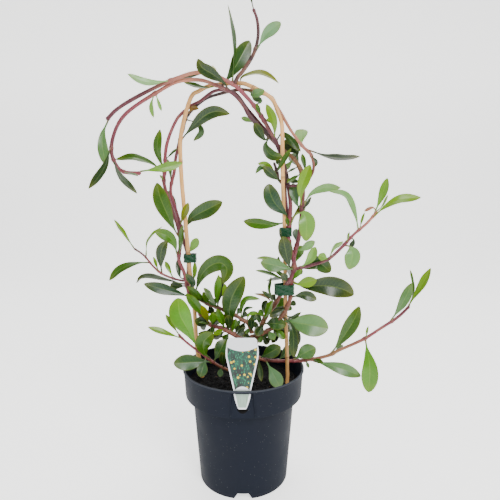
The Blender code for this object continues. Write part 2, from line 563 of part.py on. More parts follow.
def make_pot(collection, cutters, material):
    collar_foot = POT_HEIGHT - COLLAR_DEPTH
    lip_foot = POT_HEIGHT - LIP_HEIGHT
    floor_under = FLOOR_TOP - WALL
    profile = [
        (0.0, WALL),
        (BOSS_RADIUS - WALL - BOSS_TAPER, WALL),
        (BOSS_RADIUS - WALL, FLOOR_TOP),
        (wall_radius(FLOOR_TOP) - WALL, FLOOR_TOP),
        (wall_radius(collar_foot) - WALL, collar_foot + WALL),
        (collar_radius(collar_foot) - WALL, collar_foot + WALL),
        (collar_radius(lip_foot) - WALL, lip_foot),
        (collar_radius(lip_foot) - WALL + 0.1, POT_HEIGHT),
        (RIM_RADIUS, POT_HEIGHT),
        (RIM_RADIUS, lip_foot),
        (collar_radius(lip_foot), lip_foot),
        (collar_radius(collar_foot), collar_foot),
        (wall_radius(collar_foot), collar_foot),
        (wall_radius(FLOOR_TOP), FLOOR_TOP),
        (BASE_RADIUS, 0.0),
        (BASE_RADIUS - WALL, 0.0),
        (wall_radius(floor_under) - WALL, floor_under),
        (BOSS_RADIUS + BOSS_TAPER, floor_under),
        (BOSS_RADIUS, 0.0),
        (0.0, 0.0),
    ]
    pot = turned("pot", profile, POT_STEPS, collection, material)
    panel = add_object("panel_block", box_mesh(
        "panel_block",
        (-SLOT_HALF_WIDTH - 5, -SLOT_FRONT - 0.4, collar_foot + 1),
        (SLOT_HALF_WIDTH + 5, -PANEL_BACK, POT_HEIGHT - 2),
    ), cutters)
    cut(pot, panel, "UNION")
    slot = add_object("slot_cut", box_mesh(
        "slot_cut",
        (-SLOT_HALF_WIDTH, -SLOT_FRONT, POCKET_BOTTOM),
        (SLOT_HALF_WIDTH, -PANEL_FACE, POT_HEIGHT + 5),
    ), cutters)
    cut(pot, slot)
    low = collar_foot - 1
    window = [(-15, lip_foot), (14, lip_foot), (17.8, low), (-17.8, low)]
    pocket = add_object("pocket_cut", prism_mesh(
        "pocket_cut", window, Matrix.Translation((0.0, -(RIM_RADIUS + 4) * MM, 0.0)),
        RIM_RADIUS + 4 - PANEL_FACE,
    ), cutters)
    cut(pot, pocket)
    half_foot, half_top = NOTCH_FOOT_WIDTH / 2, NOTCH_TOP_WIDTH / 2
    notch = [(-half_foot, -2), (half_foot, -2), (half_top, NOTCH_HEIGHT), (-half_top, NOTCH_HEIGHT)]
    for number in range(NOTCH_COUNT):
        turn = Matrix.Rotation(math.tau * number / NOTCH_COUNT, 4, "Z")
        start = Matrix.Translation((0.0, -(BASE_RADIUS + 6) * MM, 0.0))
        name = f"notch_cut_{number + 1}"
        cut(pot, add_object(name, prism_mesh(name, notch, turn @ start, 12), cutters))
    for number in range(DRAIN_COUNT):
        angle = math.tau * (number + 0.5) / DRAIN_COUNT
        name = f"drain_cut_{number + 1}"
        working = bmesh.new()
        middle = Matrix.Translation(
            (DRAIN_CIRCLE * MM * math.cos(angle), DRAIN_CIRCLE * MM * math.sin(angle), 0.011))
        bmesh.ops.create_cone(
            working, cap_ends=True, segments=12, radius1=DRAIN_RADIUS * MM,
            radius2=DRAIN_RADIUS * MM, depth=0.006, matrix=middle)
        cut(pot, add_object(name, mesh_from_bmesh(name, working), cutters))


def make_mix(collection, cutters, material, holes):
    """Potting mix that fills the pot, low domed on top, with a hole for each cane and stem."""
    ledge = POT_HEIGHT - COLLAR_DEPTH + WALL + GAP
    clear = WALL + GAP
    profile = [
        (0.0, MIX_CROWN_HEIGHT),
        (60.0, MIX_CROWN_HEIGHT - 1.0),
        (collar_radius(MIX_EDGE_HEIGHT) - clear, MIX_EDGE_HEIGHT),
        (collar_radius(ledge) - clear, ledge),
        (wall_radius(ledge) - clear - 0.1, ledge),
        (wall_radius(MIX_BOTTOM) - clear, MIX_BOTTOM),
        (0.0, MIX_BOTTOM),
    ]
    mix = turned("potting_mix", profile, POT_STEPS, collection, material)
    back = add_object("mix_back_cut", box_mesh(
        "mix_back_cut",
        (-SLOT_HALF_WIDTH - 6, -RIM_RADIUS, ledge - 1),
        (SLOT_HALF_WIDTH + 6, -PANEL_BACK + GAP, MIX_CROWN_HEIGHT + 5),
    ), cutters)
    cut(mix, back)
    for name, (route, start_radius, end_radius) in holes.items():
        mesh = tube_mesh(name, route, start_radius, end_radius, 2, HOLE_CLEARANCE)
        cut(mix, add_object(name, mesh, cutters))


def make_label(collection, material):
    """Flat plant label: a shield-shaped card on a tongue that slips behind the pot's lip."""
    half = [
        (5.0, TONGUE_BOTTOM), (6.4, TONGUE_BOTTOM + 1.5), (12.5, 184.0), (13.0, CARD_SHOULDER),
        (23.3, 240.0), (24.0, CARD_WIDEST), (23.4, 254.0), (21.4, 266.0), (20.4, 268.8),
        (18.0, CARD_TOP),
    ]
    outline = half + [(-x, z) for x, z in reversed(half)]
    curve = bpy.data.curves.new("plant_label", "CURVE")
    curve.dimensions = "2D"
    curve.fill_mode = "BOTH"
    curve.extrude = CARD_THICKNESS * MM / 2
    spline = curve.splines.new("POLY")
    spline.points.add(len(outline) - 1)
    for point, (x, z) in zip(spline.points, outline):
        point.co = (x * MM, z * MM, 0.0, 1.0)
    spline.use_cyclic_u = True
    label = bpy.data.objects.new("plant_label", curve)
    collection.objects.link(label)
    curve.materials.append(material)
    label.rotation_euler = (math.radians(90), 0.0, 0.0)
    label.location = (CARD_MIDDLE_X * MM, -(CARD_BACK + CARD_THICKNESS / 2) * MM, 0.0)


def tape_radius(angle, half_width, half_depth):
    """Distance to a rounded-box outline at an angle (superellipse)."""
    across = abs(math.cos(angle) / half_width) ** TAPE_CORNER
    along = abs(math.sin(angle) / half_depth) ** TAPE_CORNER
    return (across + along) ** (-1 / TAPE_CORNER)


def make_tie(name, size, collection, material):
    """Band of tape round the cane and the stems beside it."""
    x, z, forward, half_width, half_depth, height = size
    middle = place(x, z, forward)
    working = bmesh.new()
    rings = []
    for level in (-0.5, 0.5):
        ring = []
        for step in range(TAPE_STEPS):
            angle = math.tau * step / TAPE_STEPS
            reach = tape_radius(angle, half_width, half_depth)
            ring.append(working.verts.new((
                (middle.x + reach * math.cos(angle)) * MM,
                (middle.y + reach * math.sin(angle)) * MM,
                (middle.z + level * height) * MM,
            )))
        rings.append(ring)
    for step in range(TAPE_STEPS):
        after = (step + 1) % TAPE_STEPS
        working.faces.new((rings[0][step], rings[0][after], rings[1][after], rings[1][step]))
    tie = add_object(name, mesh_from_bmesh(name, working), collection, material)
    solidify = tie.modifiers.new("tape", "SOLIDIFY")
    solidify.thickness = TAPE_THICKNESS * MM
    solidify.offset = 1.0


def stem_foot(stem, x, z):
    """Point on a stem's middle line that is seen at (x, z), with its direction and radius."""
    eye = Vector((EYE_X, -EYE_DISTANCE, EYE_Z))
    sight = (place(x, z, 0.0) - eye).normalized()
    fine = stem["fine"]

    def off_sight(point):
        return (point - eye).cross(sight).length

    best = min(range(len(fine)), key=lambda i: off_sight(fine[i]))
    before = fine[max(best - 1, 0)]
    after = fine[min(best + 1, len(fine) - 1)]
    share = best / (len(fine) - 1)
    radius = stem["start"] + share * (stem["end"] - stem["start"])
    return fine[best], (after - before).normalized(), radius


def leaf_route(stem, kind, lean, points):
    """Middle line of a leaf: foot on the stem, then through its points to the tip."""
    foot, along, radius = stem_foot(stem, points[0][0], points[0][1])
    foot_forward = -foot.y
    tip_forward = foot_forward + lean
    lengths = [0.0]
    for first, second in zip(points, points[1:]):
        lengths.append(lengths[-1] + math.hypot(second[0] - first[0], second[1] - first[1]))
    arch = LEAF_ARCH * lengths[-1]
    spots = [foot]
    for point, length in zip(points[1:-1], lengths[1:-1]):
        share = length / lengths[-1]
        forward = foot_forward + lean * share + arch * math.sin(math.pi * share)
        if len(point) == 3:
            forward = point[2]
        spots.append(place(point[0], point[1], forward))
    tip = place(points[-1][0], points[-1][1], tip_forward)
    if len(points) == 2:
        middle = place(
            (points[0][0] + points[1][0]) / 2, (points[0][1] + points[1][1]) / 2,
            foot_forward + lean / 2 + arch)
        spots.append(middle)
    spots.append(tip)
    if kind == "own":
        away = spots[1] - foot
        away -= along * away.dot(along)
        if away.length < 0.5:
            away = Vector((0, -1, 0))
        away.normalize()
        slant = (spots[1] - foot).normalized().dot(away)
        reach = PETIOLE_HALF_WIDTH * math.sqrt(max(0.0, 1.0 - slant * slant))
        spots[0] = foot + away * (radius + reach + FOOT_GAP)
    return spots


def blade_fullness(share):
    """Share of the full width at a share of the leaf's length; none along the petiole."""
    if share <= PETIOLE_SHARE:
        return None
    along_blade = (share - PETIOLE_SHARE) / (1.0 - PETIOLE_SHARE)
    return max(BLADE_TIP, math.sin(math.pi * along_blade)) ** BLADE_BLUNTNESS


def leaf_sections(route, width, fine, grow=0.0, first_share=0.0):
    """Four-cornered sections along a leaf: left edge, upper rib, right edge, lower rib."""
    eye = Vector((EYE_X, -EYE_DISTANCE, EYE_Z))
    length = sum((b - a).length for a, b in zip(route, route[1:]))
    full = max(width, SLENDER * length)
    roll = math.acos(min(1.0, width / full))
    stations = FINE_STATIONS if fine else PLAIN_STATIONS
    sections = []
    for share in stations:
        if share < first_share:
            continue
        fullness = blade_fullness(share)
        place_on = share * (len(route) - 1)
        index = min(int(place_on), len(route) - 2)
        point = route[index].lerp(route[index + 1], place_on - index)
        low, high = max(index - 1, 0), min(index + 2, len(route) - 1)
        along = (route[high] - route[low]).normalized()
        to_eye = (eye - point).normalized()
        facing = (to_eye - along * to_eye.dot(along)).normalized()
        plus = Matrix.Rotation(roll, 3, along) @ facing
        minus = Matrix.Rotation(-roll, 3, along) @ facing
        facing = plus if plus.z >= minus.z else minus
        side = along.cross(facing).normalized()
        half = PETIOLE_HALF_WIDTH if fullness is None else full / 2 * fullness
        half = max(half, 0.25) + grow
        thick = PETIOLE_HALF_WIDTH if fullness is None else LEAF_HALF_THICKNESS
        if share == 1.0:
            thick = 0.25
        thick += grow
        lift = 0.0 if fullness is None else LEAF_CUP * full * fullness
        sections.append((
            point - side * half + facing * lift, point + facing * thick,
            point + side * half + facing * lift, point - facing * thick,
        ))
    return sections


def loft_mesh(name, sections):
    """Closed solid through four-cornered sections that change along the way."""
    working = bmesh.new()
    rings = [[working.verts.new(corner * MM) for corner in section] for section in sections]
    for lower, upper in zip(rings, rings[1:]):
        for corner in range(4):
            after = (corner + 1) % 4
            working.faces.new((lower[corner], lower[after], upper[after], upper[corner]))
    working.faces.new(list(reversed(rings[0])))
    working.faces.new(rings[-1])
    bmesh.ops.triangulate(working, faces=working.faces)
    return mesh_from_bmesh(name, working)


def triangles_of(mesh):
    """Points and triangles of a mesh, in its own space."""
    mesh.calc_loop_triangles()
    points = [vertex.co.copy() for vertex in mesh.vertices]
    return points, [tuple(triangle.vertices) for triangle in mesh.loop_triangles]


class Crowd:
    """Everything that is already placed, for finding a clear place for the next leaf."""

    def __init__(self):
        self.points = []
        self.triangles = []

    def add(self, mesh):
        points, triangles = triangles_of(mesh)
        start = len(self.points)
        self.points += points
        self.triangles += [tuple(start + corner for corner in triangle) for triangle in triangles]

    def tree(self):
        return BVHTree.FromPolygons(self.points, self.triangles)


def overlaps(tree, mesh):
    points, triangles = triangles_of(mesh)
    return len(tree.overlap(BVHTree.FromPolygons(points, triangles)))


def settle_leaf(crowd, stem, leaf):
    """Route for a leaf at the first lean that keeps its blade clear of all the rest."""
    kind, width, lean, points = leaf
    tree = crowd.tree()
    best = None
    for step in LEAN_STEPS:
        route = smooth_route(leaf_route(stem, kind, lean + step, points), LEAF_SPACING)
        sections = leaf_sections(route, width, len(points) > FEW_POINTS, LEAF_CLEARANCE, 0.1)
        blade = loft_mesh("probe", sections)
        hits = overlaps(tree, blade)
        bpy.data.meshes.remove(blade)
        if best is None or hits < best[0]:
            best = (hits, route)
        if hits == 0:
            break
    if best[0]:
        print("leaf not clear:", stem["name"], points[0], points[-1], best[0])
    return best[1]


def make_materials():
    return {
        "pot": make_material("pot_plastic", (0.045, 0.048, 0.06), 0.55),
        "mix": make_material("potting_mix", (0.03, 0.02, 0.015), 0.95),
        "cane": make_material("bamboo", (0.56, 0.36, 0.19), 0.45),
        "label": make_material("label_card", (0.8, 0.8, 0.82), 0.35),
        "tape": make_material("tie_tape", (0.01, 0.1, 0.05), 0.4),
        "stem": make_material("stem_skin", (0.22, 0.07, 0.09), 0.5),
        "leaf": make_material("leaf_green", (0.09, 0.17, 0.05), 0.4),
    }


def build():
    clear_scene()
    parts = make_collection("guinea_flower_vine")
    cutters = make_collection("cutters")
    materials = make_materials()
    crowd = Crowd()

    make_pot(parts, cutters, materials["pot"])
    make_label(parts, materials["label"])

    cane_spots = [place(x, z, cane_forward(x)) for x, z in CANE_POINTS]
    cane_route = smooth_route(cane_spots, CANE_SPACING)
    cane = tube_mesh("bamboo_hoop", cane_route, CANE_LEFT_RADIUS, CANE_RIGHT_RADIUS, 2)
    add_object("bamboo_hoop", cane, parts, materials["cane"])
    crowd.add(cane)

    stems = {}
    for name, (points, start, end) in STEMS.items():
        spots = [place(*point) for point in points]
        route = smooth_route(spots, STEM_SPACING)
        mesh = tube_mesh(name, route, start, end, 1)
        stems[name] = {
            "name": name, "route": route, "fine": smooth_route(spots, STEM_FINE_SPACING),
            "start": start, "end": end, "mesh": mesh,
        }
        crowd.add(mesh)

    crown = stems["crown_stem"]
    make_mix(parts, cutters, materials["mix"], {
        "cane_hole": (cane_route, CANE_LEFT_RADIUS, CANE_RIGHT_RADIUS),
        "crown_hole": (crown["route"], crown["start"], crown["end"]),
    })
    bpy.context.view_layer.update()
    for name in ("pot", "potting_mix"):
        crowd.add(evaluated_mesh(bpy.data.objects[name], name))
    label = evaluated_mesh(bpy.data.objects["plant_label"], "label_probe")
    label.transform(bpy.data.objects["plant_label"].matrix_world)
    crowd.add(label)
    for name, size in TIES.items():
        make_tie(name, size, parts, materials["tape"])
        crowd.add(evaluated_mesh(bpy.data.objects[name], name))

    order = []
    for stem_name, leaves in LEAVES.items():
        for number, leaf in enumerate(leaves):
            order.append((leaf[0] != "own", -leaf[1], stem_name, number, leaf))
    order.sort(key=lambda item: item[:4])
    grown = {name: [] for name in STEMS}
    for joined, _, stem_name, number, leaf in order:
        route = settle_leaf(crowd, stems[stem_name], leaf)
        name = f"leaf_{stem_name.replace('stem_', '')}_{number + 1:02d}"
        mesh = loft_mesh(name, leaf_sections(route, leaf[1], len(leaf[3]) > FEW_POINTS))
        crowd.add(mesh)
        if joined:
            joined_leaf = add_object(name, mesh, cutters)
            grown[stem_name].append(joined_leaf)
        else:
            add_object(name, mesh, parts, materials["leaf"])

    for name, stem in stems.items():
        thing = add_object(name, stem["mesh"], parts, materials["stem"])
        for leaf in grown[name]:
            cut(thing, leaf, "UNION")


build()
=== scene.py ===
"""Looks of a guinea flower vine in a nursery pot, trained over a bamboo hoop.

Lengths are millimetres here, and meshes are written in metres. The origin is the middle of the
pot's underside, +Z is up and the viewer stands at -Y. Stems and leaves are laid out as they look
from the front: a point is the place (x, z) where its line of sight meets the upright plane
through the pot's middle, and how far it stands forward of that plane.
"""

import logging
import math
from collections.abc import Sequence
from dataclasses import dataclass, field
from enum import Enum

import bpy
import numpy as np
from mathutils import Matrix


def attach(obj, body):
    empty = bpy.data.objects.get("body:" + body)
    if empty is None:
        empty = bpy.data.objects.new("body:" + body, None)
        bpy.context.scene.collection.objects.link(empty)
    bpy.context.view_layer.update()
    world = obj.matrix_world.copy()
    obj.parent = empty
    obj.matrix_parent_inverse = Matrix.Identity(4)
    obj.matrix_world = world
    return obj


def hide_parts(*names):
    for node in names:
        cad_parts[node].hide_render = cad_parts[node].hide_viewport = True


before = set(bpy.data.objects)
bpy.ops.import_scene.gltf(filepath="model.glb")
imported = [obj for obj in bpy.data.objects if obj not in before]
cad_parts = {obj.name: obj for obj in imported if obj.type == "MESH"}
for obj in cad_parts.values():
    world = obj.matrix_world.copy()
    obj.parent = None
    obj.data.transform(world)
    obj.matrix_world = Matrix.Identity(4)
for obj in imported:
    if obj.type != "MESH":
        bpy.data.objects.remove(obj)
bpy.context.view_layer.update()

MM = 0.001
BODY = "root"
Array = np.ndarray
Socket = bpy.types.NodeSocket
log = logging.getLogger("guinea_flower_vine")

# The camera: its place, its pitch up from straight down in degrees, its lens and sensor width
EYE = np.array([10.8, -726.0, 488.0])
CAMERA_PITCH = 81.84
CAMERA_LENS = 32.84
CAMERA_SENSOR = 36.0

POT_HEIGHT = 190.0
RIM_RADIUS = 100.0

# How far written colours are deepened and strengthened on their way to linear light
DEPTH = 1.36
VIVID = 1.2

# Points worked out on each span of a smooth curve before it is resampled
SPAN_STEPS = 12


class Tone(Enum):
    """Colours that a leaf's upper side can have."""

    DEEP = "#1a3626"
    # Painted sheen: BLUISH stands for dark leaves whose gloss shows a whitish blue sheen.
    DARK = "#244529"
    BLUISH = "#2b503e"
    MID = "#355b2e"
    OLIVE = "#466a20"
    BRIGHT = "#5a8220"
    LIME = "#7a9826"
    GOLD = "#7e8230"
    FRESH = "#6b9844"
    LIGHT = "#76994b"
    PALE = "#86a769"
    MINT = "#89a97a"
    # SAGE is a pale grey-green that also stands for leaves with a light gloss: partly painted
    # sheen.
    SAGE = "#6d8c64"
    GREY = "#527253"
    SILVER = "#7c9a7b"
    CREAM = "#dcd9a8"
    ROSE = "#b08478"
    BROWN = "#75562f"


class Bark(Enum):
    """Colours that a stretch of stem can have."""

    WOOD = "#644b3c"
    BROWN = "#86624f"
    TAN = "#987a5c"
    DUSK = "#4f373c"
    PURPLE = "#74434e"
    PINK = "#9c6068"
    SALMON = "#c09280"


class Grow(Enum):
    """How a leaf is held: as a piece of its own, or as one of its stem's small leaves.

    Drawn leaves are small ones that fill the crown and have no shape in the CAD.
    """

    OWN = "own"
    JOINED = "joined"
    DRAWN = "drawn"


def linear(colour: str, strength: float = 1.0) -> tuple[float, float, float, float]:
    """Turns a written screen colour into linear light.

    Args:
        colour: Six hexadecimal digits after a number sign.
        strength: Factor on the light.

    Returns:
        Red, green, blue and an alpha of one. Each channel c becomes ((c + 0.055) / 1.055) ** 2.4,
        or c / 12.92 where it is very dark. Then light ** DEPTH keeps dark colours dark under
        bright lamps, and the distance from their mean, times VIVID, keeps them strong.
    """
    channels = np.array([int(colour[i:i + 2], 16) / 255 for i in (1, 3, 5)])
    light = np.where(channels < 0.04045, channels / 12.92, ((channels + 0.055) / 1.055) ** 2.4)
    light = light ** DEPTH
    light = np.maximum(light.mean() + (light - light.mean()) * VIVID, 0.0) * strength
    return (*map(float, light), 1.0)


def unit(vectors: Array) -> Array:
    """Scales each row to length one."""
    return vectors / np.maximum(np.linalg.norm(vectors, axis=-1, keepdims=True), 1e-9)


def ease(low: float, high: float, value: Array) -> Array:
    """Smooth step from 0 at low to 1 at high: t * t * (3 - 2 t) of the clipped share t."""
    share = np.clip((value - low) / (high - low), 0.0, 1.0)
    return share * share * (3.0 - 2.0 * share)


def read_points(text: str) -> list[tuple[float, ...]]:
    """Reads points that are written as numbers with commas, with a blank between two points."""
    return [tuple(map(float, word.split(","))) for word in text.split()]


def grid(*parts: Array) -> Array:
    """Stacks arrays of coordinates, stretched to one shape, into an array of places."""
    return np.stack(np.broadcast_arrays(*parts), axis=-1)


def circle(count: int) -> Array:
    """Angles at even steps round a circle, in radians."""
    return np.linspace(0.0, math.tau, count, endpoint=False)


def blend(first: Array, second: Array, share: Array) -> Array:
    """Straight mix of two colours or points by a share."""
    return first + (second - first) * share


def place(points: Array) -> Array:
    """Finds where points of the front view stand.

    Args:
        points: Rows (x, z, forward).

    Returns:
        World points in millimetres. With s = 1 - forward / eye distance, a point is the eye's x
        and z plus s times its offset from them, at y = -forward.
    """
    rows = np.atleast_2d(np.asarray(points, dtype=float))
    share = 1.0 + rows[:, 2] / EYE[1]
    across = EYE[0] + share * (rows[:, 0] - EYE[0])
    up = EYE[2] + share * (rows[:, 1] - EYE[2])
    return np.stack([across, -rows[:, 2], up], axis=1)


def resampled(line: Array, count: int) -> Array:
    """Points at even distances along a line.

    Args:
        line: Rows of points.
        count: Number of stretches wanted.

    Returns:
        count + 1 points, each at its share of the summed distance between the line's points.
    """
    steps = np.linalg.norm(np.diff(line, axis=0), axis=1)
    reached = np.concatenate([[0.0], np.cumsum(steps)])
    wanted = np.linspace(0.0, reached[-1], count + 1)
    return np.stack([np.interp(wanted, reached, line[:, axis]) for axis in range(3)], axis=1)


def route_length(route: Array) -> float:
    """Summed distance between a route's points."""
    return float(np.linalg.norm(np.diff(route, axis=0), axis=1).sum())


def smooth_route(points: Array, spacing: float) -> Array:
    """Even points on a smooth curve through the given ones.

    Args:
        points: Rows of points that the curve passes through.
        spacing: Distance wanted between the new points.

    Returns:
        The resampled curve. Each span from s to e, with b before and a after, is the cubic
        half of 2 s + (e - b) t + (2 b - 5 s + 4 e - a) t ** 2 + (3 s - b - 3 e + a) t ** 3.
    """
    first = 2 * points[0] - points[1]
    last = 2 * points[-1] - points[-2]
    ends = np.vstack([first, points, last])[:, None]
    before, start, end, after = ends[:-3], ends[1:-2], ends[2:-1], ends[3:]
    t = (np.arange(SPAN_STEPS) / SPAN_STEPS)[None, :, None]
    curve = 0.5 * (
        2 * start + (end - before) * t
        + (2 * before - 5 * start + 4 * end - after) * t ** 2
        + (3 * start - before - 3 * end + after) * t ** 3)
    line = np.vstack([curve.reshape(-1, 3), points[-1]])
    return resampled(line, max(2, round(route_length(line) / spacing)))


@dataclass
class Shell:
    """One closed surface before it becomes a mesh.

    Args:
        points: Rows of places in millimetres.
        faces: Integer arrays, each of quads or of triangles.
        tint: Colour of each point, red, green, blue and a free fourth value.
        uv: Place of each point along and across the surface.
    """

    points: Array
    faces: list[Array]
    tint: Array
    uv: Array

    def volume(self) -> float:
        """Signed volume: a sixth of the summed triple products of the fanned faces."""
        total = 0.0
        for corners in self.faces:
            ring = self.points[corners]
            for index in range(1, corners.shape[1] - 1):
                normal = np.cross(ring[:, index], ring[:, index + 1])
                total += float((ring[:, 0] * normal).sum()) / 6
        return total

    def outward(self) -> "Shell":
        """The same shell with its faces pointing out."""
        if self.volume() < 0:
            self.faces = [corners[:, ::-1] for corners in self.faces]
        return self


def tube_shell(rings: Array, tint: Array, uv: Array) -> Shell:
    """Closes a grid of rings into a shell with a pole at each end.

    Args:
        rings: Points as (ring, around, 3).
        tint: Colours as (ring, around, 4).
        uv: Places on the surface as (ring, around, 2).

    Returns:
        Quads between neighbouring rings, and a fan from each end ring to its middle point.
    """
    count, around = rings.shape[:2]
    index = np.arange(count * around).reshape(count, around)
    turned = np.roll(index, -1, axis=1)
    quads = np.stack([index[:-1], turned[:-1], turned[1:], index[1:]], axis=-1).reshape(-1, 4)
    start, end = count * around, count * around + 1
    first = np.stack([turned[0], index[0], np.full(around, start)], axis=1)
    last = np.stack([index[-1], turned[-1], np.full(around, end)], axis=1)
    return Shell(
        points=np.vstack([rings.reshape(-1, 3), rings[0].mean(0), rings[-1].mean(0)]),
        faces=[quads, first, last],
        tint=np.vstack([tint.reshape(-1, 4), tint[0].mean(0), tint[-1].mean(0)]),
        uv=np.vstack([uv.reshape(-1, 2), uv[0].mean(0), uv[-1].mean(0)]),
    ).outward()


def band_shell(rings: Array, tint: Array, uv: Array) -> Shell:
    """Closes a grid of rings both ways, like the surface of a tyre.

    Args:
        rings: Points as (ring, around, 3).
        tint: Colours as (ring, around, 4).
        uv: Places on the surface as (ring, around, 2).

    Returns:
        The closed band.
    """
    count, around = rings.shape[:2]
    index = np.arange(count * around).reshape(count, around)
    turned = np.roll(index, -1, axis=1)
    ahead, ahead_turned = np.roll(index, -1, axis=0), np.roll(turned, -1, axis=0)
    quads = np.stack([index, turned, ahead_turned, ahead], axis=-1).reshape(-1, 4)
    return Shell(rings.reshape(-1, 3), [quads], tint.reshape(-1, 4), uv.reshape(-1, 2)).outward()


def carried(route: Array, radius: Array) -> tuple[Array, Array]:
    """Carries a round profile along a route.

    Args:
        route: Rows of points.
        radius: Radius of each point, as (ring, around).

    Returns:
        The rings, and the place of each point along and across the surface. A ring's points are
        p + r (cos(a) l + sin(a) o), with l level and across the route and o across both.
    """
    angle = circle(radius.shape[1])
    along = unit(np.gradient(route, axis=0))
    level = unit(np.cross(along, np.array([0.0, 1.0, 0.0])))
    other = np.cross(along, level)
    ways = (np.cos(angle)[None, :, None] * level[:, None]
            + np.sin(angle)[None, :, None] * other[:, None])
    reached = np.linspace(0.0, 1.0, len(route)) * route_length(route)
    uv = grid(reached[:, None], (1.0 - np.cos(angle))[None, :] * 0.5)
    return route[:, None] + ways * radius[..., None], uv


def add_object(name: str, content: bpy.types.ID) -> bpy.types.Object:
    """Adds an object with a mesh, a lamp or a camera to the scene, at the origin."""
    thing = bpy.data.objects.new(name, content)
    bpy.context.scene.collection.objects.link(thing)
    return thing


def make_mesh(name: str, shells: list[Shell]) -> bpy.types.Mesh:
    """Writes shells into one mesh, with their colours and places on the surface.

    Args:
        name: Name of the mesh.
        shells: The shells, in millimetres.

    Returns:
        The mesh, in metres.
    """
    starts = np.cumsum([0] + [len(shell.points) for shell in shells])
    faces = [corners + start for shell, start in zip(shells, starts) for corners in shell.faces]
    loops = np.concatenate([corners.reshape(-1) for corners in faces])
    sizes = np.concatenate([np.full(len(corners), corners.shape[1]) for corners in faces])
    points = np.concatenate([shell.points for shell in shells]) * MM
    mesh = bpy.data.meshes.new(name)
    mesh.vertices.add(len(points))
    mesh.vertices.foreach_set("co", points.astype(np.float32).ravel())
    mesh.loops.add(len(loops))
    mesh.loops.foreach_set("vertex_index", loops.astype(np.int32))
    mesh.polygons.add(len(sizes))
    mesh.polygons.foreach_set("loop_start", (np.cumsum(sizes) - sizes).astype(np.int32))
    mesh.update(calc_edges=True)
    uv = np.concatenate([shell.uv for shell in shells])
    layer = mesh.uv_layers.new(name="UVMap")
    layer.data.foreach_set("uv", uv[loops].astype(np.float32).ravel())
    tint = mesh.color_attributes.new("tint", "FLOAT_COLOR", "POINT")
    colours = np.concatenate([shell.tint for shell in shells])
    tint.data.foreach_set("color", colours.astype(np.float32).ravel())
    mesh.shade_smooth()
    mesh.update()
    return mesh


def make_piece(
    name: str, shape: list[Shell] | bpy.types.Mesh, material: bpy.types.Material,
    nodes: list[str], sharp: float = 0.0,
) -> None:
    """Adds a finished piece that rides with the object and stands for CAD nodes.

    Args:
        name: The piece's name.
        shape: Its shells or its mesh, already in place.
        material: Its finish.
        nodes: The CAD nodes that it replaces.
        sharp: Angle in degrees past which edges stay sharp, or 0 for none.
    """
    mesh = make_mesh(name, shape) if isinstance(shape, list) else shape
    piece = add_object(name, mesh)
    mesh.materials.clear()
    mesh.materials.append(material)
    if sharp:
        mesh.set_sharp_from_angle(angle=math.radians(sharp))
    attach(piece, BODY)
    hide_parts(*nodes)
    log.info("%s: %d faces, replaces %s", name, len(mesh.polygons), ", ".join(nodes))


def plain_tint(shape: tuple[int, ...], colour: str) -> Array:
    """One colour for a whole grid of points."""
    return np.broadcast_to(np.array(linear(colour)), (*shape, 4)).copy()


